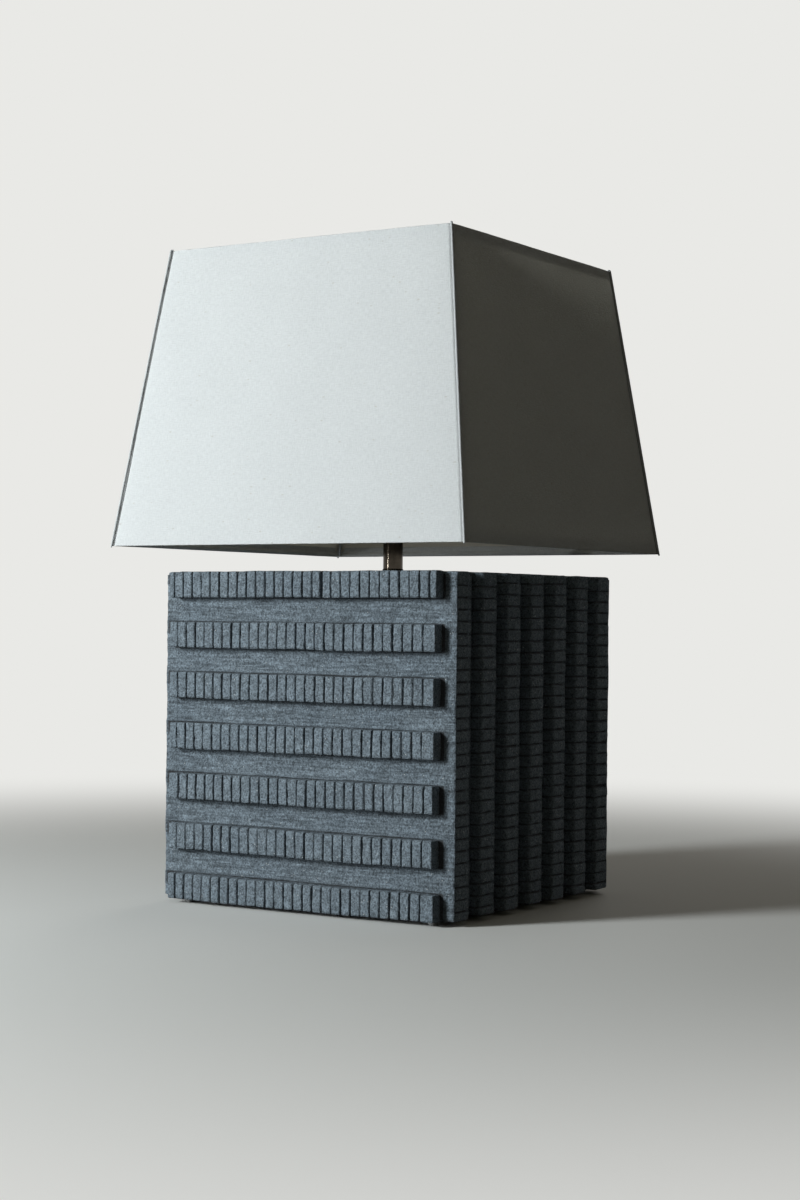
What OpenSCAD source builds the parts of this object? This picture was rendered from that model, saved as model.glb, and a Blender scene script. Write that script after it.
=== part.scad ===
// Table lamp: a slab-built stoneware block with raised, scored bars, a bronze neck and a square linen shade.
// The origin is on the table under the middle of the block, +Z is up and the front faces -Y.
// All sizes are in millimetres.

/* [Block] */
// Width of the slab box over its walls, the same both ways
core_w = 292; // [262:1:320]
// Height of the block
block_h = 305; // [275:1:335]
// Thickness of the four side slabs
wall_t = 10; // [9:0.5:13]
// Thickness of the top slab
top_t = 12; // [9:0.5:15]
// Width of a raised bar, across its length
bar_w = 24; // [20:0.5:28]
// How far a raised bar stands out from its wall
bar_t = 12.5; // [8:0.5:16]
// Raised bars on each side of the block
bar_count = 7; // [6:1:7]
// Distance between the lines scored across a bar
score_pitch = 10; // [8:0.5:14]
// Width of a scored line at the bar's face
score_w = 2; // [1.2:0.1:3]
// Depth of a scored line
score_d = 3; // [1.5:0.1:5]
// Diameter of the hole for the lamp pipe in the top slab
pipe_hole_d = 12; // [11:0.5:14]

/* [Feet] */
// Diameter of a bumper foot where it is glued on
foot_d = 9.5; // [8:0.1:10]
// Height of a bumper foot
foot_h = 3.8; // [3:0.1:5]
// Diameter of the flat that a bumper foot stands on
foot_face_d = 7; // [5:0.1:8]
// Distance of a foot's centre from the outside of the left or right wall
foot_inset = 13; // [8:0.5:25]

/* [Cord inlet] */
// Diameter of the hole for the grommet in the back wall
inlet_hole_d = 12; // [11:0.5:14]
// Diameter of the grommet's bore, for a lamp cord
inlet_bore_d = 7.5; // [6.5:0.1:8.5]
// Diameter of the grommet's flanges
inlet_flange_d = 17; // [15.5:0.5:19]
// Thickness of a grommet flange
inlet_flange_t = 2; // [1.5:0.1:3]

/* [Neck] */
// Outside diameter of the neck tube
tube_d = 19; // [17:0.5:21]
// Wall of the neck tube
tube_wall = 1; // [0.8:0.1:1.5]
// Length of the neck tube
tube_len = 48; // [40:1:60]
// Diameter of the seat ring under the neck tube
seat_ring_d = 22.6; // [21.5:0.1:26]
// Height of the seat ring
seat_ring_h = 5; // [4:0.1:7]
// Height of the check ring that closes the neck tube's top
check_ring_h = 3; // [2:0.1:5]
// Outside diameter of the threaded lamp pipe
pipe_d = 10; // [9.5:0.1:10.5]
// Bore of the lamp pipe, for the wires
pipe_bore_d = 7; // [6:0.1:7.5]
// Diameter of the steel washer under the top slab
slab_washer_d = 38; // [30:1:45]
// Thickness of the steel washer
slab_washer_t = 2; // [1.5:0.1:3]
// Diameter of the rubber washer between the steel washer and the slab
cushion_d = 42; // [30:1:48]
// Thickness of the rubber washer
cushion_t = 2; // [1.5:0.1:4]
// Width across the flats of the pipe nut
nut_af = 14.3; // [13.5:0.1:17]
// Height of the pipe nut
nut_h = 5; // [3:0.1:7]
// Length of pipe that stands out below its nut
pipe_tail = 7; // [4:0.5:15]

/* [Lampholder] */
// Outside radius of the lampholder's cap and its wall
cap_r = 17.2; // [16.9:0.1:18.5]
// Wall of the cap
cap_wall = 0.8; // [0.6:0.1:0.8]
// Height of the cap
cap_h = 22; // [20:0.5:26]
// Height of the cap's hub
hub_h = 7; // [6:0.5:8]
// Outside radius of the cap's hub
hub_r = 8; // [7.5:0.1:9]
// Depth of shell that sits in the cap
shell_lap = 8; // [6:0.5:9]
// Wall of the outer shell
shell_wall = 0.6; // [0.5:0.1:0.8]
// Wall of the insulating sleeve
liner_wall = 0.8; // [0.6:0.1:1]
// Height of the insulating body that holds the switch
body_h = 26; // [22:0.5:30]
// Height of the screw shell over the insulating body
screw_shell_h = 22; // [20:0.5:24]
// Outside radius of the screw shell
screw_shell_r = 13.7; // [13.7:0.05:13.9]
// Wall of the screw shell
screw_shell_wall = 0.4; // [0.3:0.05:0.4]
// Height of the centre contact
contact_h = 1.5; // [1:0.1:2]
// Radius of the switch stem
stem_r = 2; // [1.5:0.1:2.5]
// Radius of the switch knob
knob_r = 6; // [5:0.1:8]
// Length of the switch knob
knob_len = 14; // [10:0.5:18]

/* [Bulb] */
// Radius of the bulb's screw cap
bulb_cap_r = 12.9; // [12.7:0.05:12.95]
// Height of the bulb's screw cap
bulb_cap_h = 20; // [18:0.5:22]
// Largest radius of the glass
glass_r = 30; // [24:0.5:32]
// Height of the glass above the screw cap
glass_h = 80; // [70:1:88]
// Wall of the glass
glass_wall = 1; // [0.8:0.1:1.5]

/* [Harp] */
// Diameter of the harp's wire
harp_wire_d = 3.6; // [3:0.1:4]
// Half of the width between the insides of the harp's upright legs
harp_reach = 52; // [40:1:60]
// Radius of the two bends in the lower part of each leg
harp_bend_r = 30; // [20:1:40]
// Radius of the harp's upper corners
harp_top_r = 44; // [30:1:45]
// Half of the width over the saddle's upright tabs
saddle_reach = 27.5; // [25:0.5:30]
// Width of the saddle's strip
saddle_w = 8; // [6:0.5:10]
// Thickness of the saddle's strip
saddle_t = 1.5; // [1.2:0.1:2]
// Height of the saddle's tabs over its strip
saddle_tab_h = 12; // [10:0.5:14]
// Height of the sleeves that lock the harp to the saddle
ferrule_h = 13; // [10:0.5:15]
// Wall of those sleeves
ferrule_wall = 0.8; // [0.6:0.1:1.2]
// Length of the block that carries the finial's stud, along the harp's bridge
stud_block_len = 15; // [12:0.5:18]
// Width of that block
stud_block_w = 9; // [7:0.5:12]
// Height of that block
stud_block_h = 7; // [6:0.5:9]
// Radius of the finial's stud
stud_r = 3.175; // [3:0.025:3.3]
// Length of the stud over the fitter's washer
stud_len = 10; // [8:0.5:11]

/* [Finial] */
// Radius of the finial's foot
finial_foot_r = 7; // [6:0.1:8]
// Radius of the finial's knob
finial_knob_r = 8.5; // [7:0.1:10]
// Height of the finial
finial_h = 24; // [22:0.5:30]

/* [Shade] */
// Width of the shade's lower edge, over the panels
shade_bottom_w = 381; // [360:1:400]
// Width of the shade's upper edge, over the panels
shade_top_w = 305; // [280:1:330]
// Height of the shade
shade_h = 277; // [272:1:290]
// Gap between the block's top and the shade's lower edge
shade_gap = 23; // [18:1:30]
// Thickness of a panel, linen on its stiff backing
panel_t = 1.2; // [0.8:0.1:2]
// Diameter of the steel wire in the upper and lower edges
wire_d = 2.8; // [2.4:0.1:3.2]
// Thickness of the linen rolled round those wires
hem_t = 0.5; // [0.4:0.1:0.8]
// Diameter of the four corner ribs
rib_d = 2.5; // [2:0.1:3]
// Diameter of the sewn ridge down each corner
seam_d = 2; // [1.5:0.1:3]
// How far the sewn ridge runs past the lower edge
seam_tail = 1.5; // [0:0.1:2.5]
// How far the fitter's washer lies below the shade's upper edge
fitter_drop = 14; // [12:0.5:17]
// Radius of the fitter's washer
fitter_r = 18; // [15:0.5:22]
// Thickness of the fitter's washer
fitter_t = 1.6; // [1.2:0.1:2]
// Diameter of the fitter's arms
arm_d = 3; // [2.5:0.1:3.5]

/* [Fits] */
// Gap all round between pieces that slide or screw over each other
fit_gap = 0.15; // [0.1:0.01:0.2]
// Gap all round between a hole and the larger thing that only passes through it
pass_gap = 0.5; // [0.3:0.05:0.8]
// Gap between pieces that turn against each other
turn_gap = 0.1; // [0.05:0.01:0.2]

/* [Hidden] */
$fn = 64;
WIRE_ARC = 8;
WIRE_SIDES = 16;

// How far a cut runs past the surface that it opens
past = 1;

// Heights
z_block = foot_h;
z_top = z_block + block_h;
z_slab = z_top - top_t;
z_tube = z_top + seat_ring_h;
z_saddle = z_tube + tube_len + check_ring_h;
z_cap = z_saddle + saddle_t;
z_shell = z_cap + cap_h - shell_lap;
z_body = z_shell + turn_gap;
z_body_top = z_body + body_h;
z_stem = z_body + body_h * 0.55;
z_bulb = z_body_top + contact_h + fit_gap;
z_lower = z_top + shade_gap;
z_upper = z_lower + shade_h;
z_fitter = z_upper - fitter_drop;
z_finial = z_fitter + fitter_t;

// Block
clay = "#2f3236";
wall_y = core_w / 2 - wall_t;
wall_h = block_h - top_t;
bar_pitch_z = (block_h - bar_w) / (bar_count - 1);
bar_pitch_y = (core_w - bar_w) / (bar_count - 1);
z_inlet = z_block + bar_w + (bar_pitch_z - bar_w) / 2;

// Pipe and stack under the top slab
pipe_r = pipe_d / 2;
over_pipe_r = pipe_r + fit_gap;
z_nut = z_slab - cushion_t - slab_washer_t - nut_h;
z_pipe = z_nut - pipe_tail;
z_pipe_top = z_cap + hub_h;
check_lip = 1;
check_step_h = 2;

// Lampholder, nested from the outside inwards. The shell stands over the screw shell by shell_rise and over
// its sleeve by sleeve_short.
shell_r = cap_r - cap_wall - fit_gap;
liner_r = shell_r - shell_wall - fit_gap;
body_r = liner_r - liner_wall - fit_gap;
body_flat = body_r - 3.5;
body_flat_h = body_h * 0.6;
shell_rise = 3;
sleeve_short = 2;
holder_top = z_body_top + screw_shell_h + shell_rise;
cap_slope_h = 5;
cap_floor_t = 2;
setscrew_r = 1.9;
setscrew_out = 1.5;
setscrew_z = hub_h * 0.45;
terminal_r = 3;
terminal_t = 2;
knob_face = shell_r + 1;
knob_wall = 1.6;
stem_in = 8;
knob_socket = knob_len * 0.5;

// Bulb
tip_h = 1.2;
tip_r = 4.5;
insulator_h = 3;
insulator_edge = 0.5;
z_bulb_cap = z_bulb + tip_h + insulator_h;
z_glass = z_bulb_cap + bulb_cap_h;
bulb_cap_wall = 0.4;
glass_neck_r = bulb_cap_r - bulb_cap_wall - fit_gap;
glass_lap = 8;

// Harp. The foot of each leg is long enough for its ferrule to slide up off the saddle's tab.
harp_r = harp_wire_d / 2;
saddle_eye = 3;
harp_leg_x = saddle_reach + fit_gap + harp_r;
harp_side_x = harp_reach + harp_r;
harp_lean = acos(1 - (harp_side_x - harp_leg_x) / (2 * harp_bend_r));
z_harp = z_cap + 2;
z_harp_top = z_fitter - stud_block_h / 2;
harp_foot = saddle_tab_h + ferrule_h + 1;
harp_rise = 2 * harp_bend_r * sin(harp_lean);
harp_side = z_harp_top - harp_top_r - z_harp - harp_foot - harp_rise;
harp_bridge = 2 * (harp_side_x - harp_top_r);

// Shade
hem_r = wire_d / 2 + turn_gap + hem_t;
rib_r = rib_d / 2;
wire_bend_r = hem_r + rib_r + 0.3;
rib_lap = 1.2;
seam_sink = 0.2;
taper = (shade_bottom_w - shade_top_w) / 2 / shade_h;
taper_stretch = sqrt(1 + taper * taper);
panel_across = panel_t * taper_stretch;
z_lower_wire = z_lower + hem_r;
z_upper_wire = z_upper - hem_r;
arm_start = fitter_r * 0.6;
arm_sink = 0.4;
z_arm = z_finial + arm_d / 2 - arm_sink;

// Half of the shade's outside width at height z
function shade_half(z) = shade_bottom_w / 2 - taper * (z - z_lower);

// Half of the width between opposite sides of the wire loop at height z, on the wire's centreline,
// to a hundredth
function wire_half(z) =
    floor(100 * (shade_half(z) - panel_across - (hem_r + turn_gap) * taper_stretch)) / 100;

// A round rod between two points
module rod(from, to, d) {
    way = to - from;
    translate(from) rotate([0, acos(way.z / norm(way)), atan2(way.y, way.x)]) cylinder(h = norm(way), d = d);
}

// A ring or tube round the Z axis
module tube(r_out, r_in, h) {
    difference() {
        cylinder(r = r_out, h = h);
        translate([0, 0, -past]) cylinder(r = r_in, h = h + 2 * past);
    }
}

// Points along a wire that bends in a plane, each [u, v, heading]. Each step is [straight length, bend
// radius, bend angle], and a positive angle turns left.
function wire_points(steps, at, i = 0) =
    i == len(steps) ? [] :
    let (
        heading = at[2], r = steps[i][1], angle = steps[i][2], side = sign(angle),
        bend = [at.x + steps[i][0] * cos(heading), at.y + steps[i][0] * sin(heading), heading],
        centre = [bend.x - side * r * sin(heading), bend.y + side * r * cos(heading)],
        arc = angle == 0 ? [] : [for (k = [1:WIRE_ARC]) let (h = heading + angle * k / WIRE_ARC)
            [centre.x + side * r * sin(h), centre.y - side * r * cos(h), h]]
    )
    concat(
        steps[i][0] > 0 ? [bend] : [], arc, wire_points(steps, angle == 0 ? bend : arc[WIRE_ARC - 1], i + 1));

// A round wire in the XZ plane that follows such points, with flat ends
module planar_wire(path, d) {
    rings = len(path);
    points = [for (p = path) each [for (k = [0:WIRE_SIDES - 1]) let (a = 360 * k / WIRE_SIDES)
        [p.x - sin(p[2]) * cos(a) * d / 2, sin(a) * d / 2, p.y + cos(p[2]) * cos(a) * d / 2]]];
    skin = [for (i = [0:rings - 2], k = [0:WIRE_SIDES - 1])
        let (a = i * WIRE_SIDES + k, b = i * WIRE_SIDES + (k + 1) % WIRE_SIDES) each
            [[a, a + WIRE_SIDES, b], [b, a + WIRE_SIDES, b + WIRE_SIDES]]];
    ends = [[for (k = [0:WIRE_SIDES - 1]) k], [for (k = [WIRE_SIDES - 1:-1:0]) (rings - 1) * WIRE_SIDES + k]];
    polyhedron(points, concat(skin, ends));
}

// A square loop of wire with rounded corners, at height z, seen on its centreline
module wire_loop(half, z, d) {
    straight = half - wire_bend_r;
    for (turn = [0:90:270]) rotate([0, 0, turn]) translate([0, 0, z]) {
        translate([-straight, -half, 0]) rotate([0, 90, 0]) cylinder(d = d, h = 2 * straight);
        translate([straight, -straight, 0]) rotate([0, 0, -90])
            rotate_extrude(angle = 90) translate([wire_bend_r, 0]) circle(d = d);
    }
}

// One raised bar from the origin along +X, standing out towards +Y, with its score lines across it
module scored_bar(length) {
    segments = round(length / score_pitch);
    pitch = length / segments;
    notches = [for (i = [segments - 1:-1:1]) each [
        [i * pitch + score_w / 2, bar_t], [i * pitch, bar_t - score_d], [i * pitch - score_w / 2, bar_t]]];
    linear_extrude(bar_w, center = true)
        polygon(concat([[0, 0], [length, 0], [length, bar_t]], notches, [[0, bar_t]]));
}

// A wall with level bars, as it lies at the front: a slab over the block's whole width. The topmost bar
// stands past the slab, against the edge of the top slab.
module level_wall() {
    translate([-core_w / 2, -core_w / 2, z_block]) cube([core_w, wall_t, wall_h]);
    for (i = [0:bar_count - 1])
        translate([-core_w / 2, -core_w / 2, z_block + bar_w / 2 + i * bar_pitch_z])
            rotate([180, 0, 0]) scored_bar(core_w);
}

// A wall with upright bars, as it lies on the right: a slab between the front and back walls. Its outer
// bars close the corners, over the ends of those walls.
module upright_wall() {
    translate([wall_y, -wall_y, z_block]) cube([wall_t, 2 * wall_y, wall_h]);
    for (i = [0:bar_count - 1])
        translate([core_w / 2, -core_w / 2 + bar_w / 2 + i * bar_pitch_y, z_block])
            rotate([0, -90, -90]) scored_bar(block_h);
}

// The four walls and the top slab, which slip and one firing join to a block that is open below
module front_wall() {
    color(clay) level_wall();
}

module right_wall() {
    color(clay) upright_wall();
}

module back_wall() {
    color(clay) difference() {
        rotate([0, 0, 180]) level_wall();
        translate([0, wall_y - past, z_inlet]) rotate([-90, 0, 0])
            cylinder(d = inlet_hole_d, h = wall_t + 2 * past);
    }
}

module left_wall() {
    color(clay) rotate([0, 0, 180]) upright_wall();
}

module top_slab() {
    color(clay) difference() {
        translate([-core_w / 2, -core_w / 2, z_slab]) cube([core_w, core_w, top_t]);
        translate([0, 0, z_slab - past]) cylinder(d = pipe_hole_d, h = top_t + 2 * past);
    }
}

// Four clear bumpers, glued under the front and back walls
module bumper_feet() {
    skirt = foot_h * 0.4;
    color("#dfe4e4", 0.6) for (x = [-1, 1], y = [-1, 1])
        translate([x * (core_w / 2 - foot_inset), y * (core_w - wall_t) / 2, 0]) {
            cylinder(d1 = foot_face_d, d2 = foot_d, h = foot_h - skirt);
            translate([0, 0, foot_h - skirt]) cylinder(d = foot_d, h = skirt);
        }
}

// Rubber bushing in the back wall that the cord comes through
module cord_grommet() {
    color("#161616") translate([0, wall_y, z_inlet]) rotate([-90, 0, 0]) difference() {
        union() {
            cylinder(d = inlet_hole_d - 2 * fit_gap, h = wall_t);
            for (z = [-inlet_flange_t, wall_t])
                translate([0, 0, z]) cylinder(d = inlet_flange_d, h = inlet_flange_t);
        }
        translate([0, 0, -inlet_flange_t - past])
            cylinder(d = inlet_bore_d, h = wall_t + 2 * (inlet_flange_t + past));
    }
}

// Threaded tube that ties the block, neck and lampholder together and leads the wires
module lamp_pipe() {
    color("#b8a06a") translate([0, 0, z_pipe]) tube(pipe_r, pipe_bore_d / 2, z_pipe_top - z_pipe);
}

module cushion_washer() {
    color("#1c1c1c") translate([0, 0, z_slab - cushion_t]) tube(cushion_d / 2, over_pipe_r, cushion_t);
}

module slab_washer() {
    color("#a9acad") translate([0, 0, z_nut + nut_h]) tube(slab_washer_d / 2, over_pipe_r, slab_washer_t);
}

module pipe_nut() {
    color("#a9acad") translate([0, 0, z_nut]) difference() {
        cylinder(r = nut_af / 2 / cos(30), h = nut_h, $fn = 6);
        translate([0, 0, -past]) cylinder(r = over_pipe_r, h = nut_h + 2 * past);
    }
}

// Turned ring that the neck tube stands on
module neck_seat_ring() {
    r = seat_ring_d / 2;
    bevel = (seat_ring_d - tube_d) / 2;
    color("#3a3632") translate([0, 0, z_top]) rotate_extrude()
        polygon([[over_pipe_r, 0], [r, 0], [r, seat_ring_h - bevel], [tube_d / 2, seat_ring_h],
            [over_pipe_r, seat_ring_h]]);
}

module neck_tube() {
    color("#4a443c") translate([0, 0, z_tube]) tube(tube_d / 2, tube_d / 2 - tube_wall, tube_len);
}

// Turned ring that closes the tube's top, with a step that centres it in the tube
module neck_check_ring() {
    step_r = tube_d / 2 - tube_wall - fit_gap;
    color("#3a3632") translate([0, 0, z_tube + tube_len]) {
        tube(tube_d / 2 + check_lip, over_pipe_r, check_ring_h);
        translate([0, 0, -check_step_h]) tube(step_r, over_pipe_r, check_step_h);
    }
}

// Steel strip under the lampholder, with a tab turned up at each end for the harp
module harp_saddle() {
    color("#9a8a5c") translate([0, 0, z_saddle]) difference() {
        union() {
            translate([-saddle_reach, -saddle_w / 2, 0]) cube([2 * saddle_reach, saddle_w, saddle_t]);
            cylinder(r = hub_r + saddle_eye, h = saddle_t);
            for (x = [-saddle_reach, saddle_reach - saddle_t])
                translate([x, -saddle_w / 2, 0]) cube([saddle_t, saddle_w, saddle_t + saddle_tab_h]);
        }
        translate([0, 0, -past]) cylinder(r = over_pipe_r, h = saddle_t + 2 * past);
    }
}

// Sleeve that slides down over a saddle tab and a harp leg and locks them together, on the side -1 or 1
module ferrule(side) {
    inside = [saddle_t + harp_wire_d + 3 * fit_gap, saddle_w + 2 * fit_gap];
    middle_x = side * (saddle_reach - saddle_t - fit_gap + inside.x / 2);
    color("#b8a06a") translate([middle_x, 0, z_cap + turn_gap])
        linear_extrude(ferrule_h) difference() {
            square(inside + 2 * ferrule_wall * [1, 1], center = true);
            square(inside, center = true);
        }
}

module left_ferrule() {
    ferrule(-1);
}

module right_ferrule() {
    ferrule(1);
}

// The harp: one wire, up from the saddle, out, up past the bulb and over
module harp() {
    start = [harp_leg_x, z_harp, 90];
    steps = [
        [harp_foot, harp_bend_r, -harp_lean], [0, harp_bend_r, harp_lean],
        [harp_side, harp_top_r, 90], [harp_bridge, harp_top_r, 90],
        [harp_side, harp_bend_r, harp_lean], [0, harp_bend_r, -harp_lean],
        [harp_foot, 0, 0]
    ];
    color("#b8a06a") planar_wire(concat([start], wire_points(steps, start)), harp_wire_d);
}

// Block crimped on the harp's bridge, with the stud that the shade and finial go on
module harp_stud() {
    color("#b8a06a") difference() {
        union() {
            translate([-stud_block_len / 2, -stud_block_w / 2, z_fitter - stud_block_h])
                cube([stud_block_len, stud_block_w, stud_block_h]);
            translate([0, 0, z_fitter - stud_r]) cylinder(r = stud_r, h = stud_r + fitter_t + stud_len);
        }
        translate([-stud_block_len / 2 - past, 0, z_harp_top]) rotate([0, 90, 0])
            cylinder(r = harp_r + turn_gap, h = stud_block_len + 2 * past);
    }
}

// Cup under the lampholder: a hub that screws on the pipe, and a bowl that holds the shell
module holder_cap() {
    bowl_z = hub_h + cap_slope_h;
    color("#a88f58") translate([0, 0, z_cap]) difference() {
        rotate_extrude() polygon([
            [over_pipe_r, 0], [hub_r, 0], [hub_r, hub_h - cap_floor_t], [cap_r, bowl_z - cap_wall],
            [cap_r, cap_h], [cap_r - cap_wall, cap_h], [cap_r - cap_wall, bowl_z], [hub_r, hub_h],
            [over_pipe_r, hub_h]]);
        translate([0, 0, setscrew_z]) rotate([-90, 0, 0])
            cylinder(r = setscrew_r + fit_gap, h = hub_r + past);
    }
}

// Set screw that stops the cap turning on the pipe
module cap_setscrew() {
    color("#a9acad") translate([0, over_pipe_r, z_cap + setscrew_z]) rotate([-90, 0, 0])
        cylinder(r = setscrew_r, h = hub_r + setscrew_out - over_pipe_r);
}

// Brass shell round the switch and screw shell, with a hole for the switch stem
module holder_shell() {
    color("#a88f58") difference() {
        translate([0, 0, z_shell]) tube(shell_r, shell_r - shell_wall, holder_top - z_shell);
        translate([0, 0, z_stem]) rotate([90, 0, 0]) cylinder(r = stem_r + pass_gap, h = cap_r + past);
    }
}

// Fibre sleeve between the live parts and the shell
module insulating_sleeve() {
    color("#c9b48a") difference() {
        translate([0, 0, z_body]) tube(liner_r, liner_r - liner_wall, holder_top - z_body - sleeve_short);
        translate([0, 0, z_stem]) rotate([90, 0, 0]) cylinder(r = stem_r + pass_gap, h = cap_r + past);
    }
}

// Moulded body with the switch inside and a flat on each side for a terminal
module switch_body() {
    color("#241d18") difference() {
        translate([0, 0, z_body]) cylinder(r = body_r, h = body_h);
        for (turn = [0, 180]) rotate([0, 0, turn])
            translate([body_flat, -body_r, z_body - past]) cube([body_r, 2 * body_r, body_flat_h + past]);
        translate([0, 0, z_stem]) rotate([90, 0, 0]) cylinder(r = stem_r + turn_gap, h = body_r + past);
    }
}

module terminal_screws() {
    color("#b8a06a") for (turn = [0, 180]) rotate([0, 0, turn])
        translate([body_flat, 0, z_body + body_flat_h / 2]) rotate([0, 90, 0])
            cylinder(r = terminal_r, h = terminal_t);
}

// Threaded shell that the bulb screws into
module screw_shell() {
    color("#c2a860") translate([0, 0, z_body_top])
        tube(screw_shell_r, screw_shell_r - screw_shell_wall, screw_shell_h);
}

module centre_contact() {
    color("#c2a860") translate([0, 0, z_body_top]) cylinder(r = tip_r, h = contact_h);
}

// Shaft of the rotary switch, which runs out to the front
module switch_stem() {
    color("#b8a06a") translate([0, -(body_r - stem_in), z_stem]) rotate([90, 0, 0])
        cylinder(r = stem_r, h = knob_face + knob_socket - (body_r - stem_in) - fit_gap);
}

// Turn knob with a round skirt and a flat grip
module switch_knob() {
    skirt = knob_len * 0.3;
    color("#171513") translate([0, -knob_face, z_stem]) rotate([90, 0, 0]) difference() {
        union() {
            cylinder(r = knob_r, h = skirt);
            cylinder(r = stem_r + knob_wall, h = knob_socket + knob_wall);
            translate([-knob_wall, -knob_r, skirt / 2])
                cube([2 * knob_wall, 2 * knob_r, knob_len - skirt / 2]);
        }
        translate([0, 0, -past]) cylinder(r = stem_r + turn_gap, h = knob_socket + past);
    }
}

module bulb_tip() {
    color("#b9bbbc") translate([0, 0, z_bulb]) cylinder(r = tip_r, h = tip_h);
}

module bulb_insulator() {
    color("#101010") translate([0, 0, z_bulb + tip_h])
        cylinder(r1 = tip_r + insulator_edge, r2 = bulb_cap_r - insulator_edge, h = insulator_h);
}

// Screw cap of the bulb, open above, where the glass is set in it
module bulb_screw_cap() {
    color("#c8c8c6") translate([0, 0, z_bulb_cap]) difference() {
        cylinder(r = bulb_cap_r, h = bulb_cap_h);
        translate([0, 0, bulb_cap_h - glass_lap])
            cylinder(r = bulb_cap_r - bulb_cap_wall, h = glass_lap + past);
    }
}

// Outline of the glass, taken in by inset: a straight neck, a shoulder that swells from it and a round crown
function glass_outline(inset) =
    let (
        neck = glass_neck_r - inset, wide = glass_r - inset, centre = z_glass + glass_h - glass_r,
        meet = -40, shoulder_r = wide * cos(meet), shoulder_z = centre + wide * sin(meet)
    )
    concat(
        [[0, centre + wide]],
        [for (a = [80:-10:meet]) [wide * cos(a), centre + wide * sin(a)]],
        [for (i = [1:8]) let (t = i / 8, s = (1 - t) * (1 - t))
            [neck + (shoulder_r - neck) * s, shoulder_z + (z_glass - shoulder_z) * t]],
        [[neck, z_glass - glass_lap]]);

// Frosted glass envelope
module bulb_glass() {
    outside = glass_outline(0);
    inside = glass_outline(glass_wall);
    color("#f2f2ee", 0.6) rotate_extrude()
        polygon(concat(outside, [for (i = [len(inside) - 1:-1:0]) inside[i]]));
}

// Turned knob that screws down on the shade's fitter
module finial() {
    neck_r = finial_foot_r * 0.7;
    crown = finial_h - finial_knob_r;
    foot_rim = 2.5;
    foot_cove = 1.5;
    color("#4a443c") translate([0, 0, z_finial]) difference() {
        rotate_extrude() polygon(concat(
            [[0, 0], [finial_foot_r, 0], [finial_foot_r, foot_rim], [neck_r, foot_rim + foot_cove],
                [neck_r, crown - finial_knob_r * 0.8]],
            [for (a = [-50:10:80]) [finial_knob_r * cos(a), crown + finial_knob_r * sin(a)]],
            [[0, crown + finial_knob_r]]));
        translate([0, 0, -past]) cylinder(r = stud_r + turn_gap, h = stud_len + 2 * past);
    }
}

// Washer on the harp's stud, with four arms to the middle of each side of the upper wire
module shade_fitter() {
    reach = wire_half(z_upper_wire) - hem_r - fit_gap;
    color("#8d8f90") difference() {
        union() {
            translate([0, 0, z_fitter]) cylinder(r = fitter_r, h = fitter_t);
            for (turn = [0:90:270]) rotate([0, 0, turn])
                rod([arm_start, 0, z_arm], [reach, 0, z_upper_wire], arm_d);
        }
        translate([0, 0, z_fitter - past]) cylinder(r = stud_r + 2 * turn_gap, h = fitter_t + 2 * past);
    }
}

module upper_wire() {
    color("#8d8f90") wire_loop(wire_half(z_upper_wire), z_upper_wire, wire_d);
}

module lower_wire() {
    color("#8d8f90") wire_loop(wire_half(z_lower_wire), z_lower_wire, wire_d);
}

// Straight ribs, one inside each corner, welded to both wires
module corner_ribs() {
    low = z_lower_wire - rib_lap;
    high = z_upper_wire + rib_lap;
    b = wire_half(low) - wire_bend_r;
    t = wire_half(high) - wire_bend_r;
    color("#8d8f90") for (turn = [0:90:270]) rotate([0, 0, turn]) rod([b, b, low], [t, t, high], rib_d);
}

// Linen rolled round a wire
module hem(z) {
    color("#dcdad2") difference() {
        wire_loop(wire_half(z), z, 2 * hem_r);
        wire_loop(wire_half(z), z, wire_d + 2 * turn_gap);
    }
}

module upper_hem() {
    hem(z_upper_wire);
}

module lower_hem() {
    hem(z_lower_wire);
}

// One side of the shade: a flat trapezium with mitred ends. The first quad is the outside
module panel(turn) {
    corners = [for (z = [z_lower, z_upper], inset = [0, panel_across]) let (a = shade_half(z) - inset) each
        [[-a, -a, z], [a, -a, z]]];
    color("#e4e3dd") rotate([0, 0, turn]) polyhedron(corners, [
        [0, 4, 5, 1], [2, 3, 7, 6], [0, 1, 3, 2], [4, 6, 7, 5], [0, 2, 6, 4], [1, 5, 7, 3]]);
}

module front_panel() {
    panel(0);
}

module right_panel() {
    panel(90);
}

module back_panel() {
    panel(180);
}

module left_panel() {
    panel(270);
}

// Sewn ridges that stand out along the shade's corners
module corner_seams() {
    b = shade_half(z_lower - seam_tail) - seam_sink;
    t = shade_half(z_upper) - seam_sink;
    low = shade_bottom_w / 2;
    high = shade_top_w / 2;
    color("#e4e3dd") difference() {
        for (turn = [0:90:270]) rotate([0, 0, turn])
            rod([b, b, z_lower - seam_tail], [t, t, z_upper], seam_d);
        polyhedron(
            [for (side = [[low, z_lower], [high, z_upper]]) each
                [for (c = [[-1, -1], [1, -1], [1, 1], [-1, 1]]) [c.x * side[0], c.y * side[0], side[1]]]],
            [[0, 1, 2, 3], [7, 6, 5, 4], [0, 4, 5, 1], [1, 5, 6, 2], [2, 6, 7, 3], [3, 7, 4, 0]]);
    }
}

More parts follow.
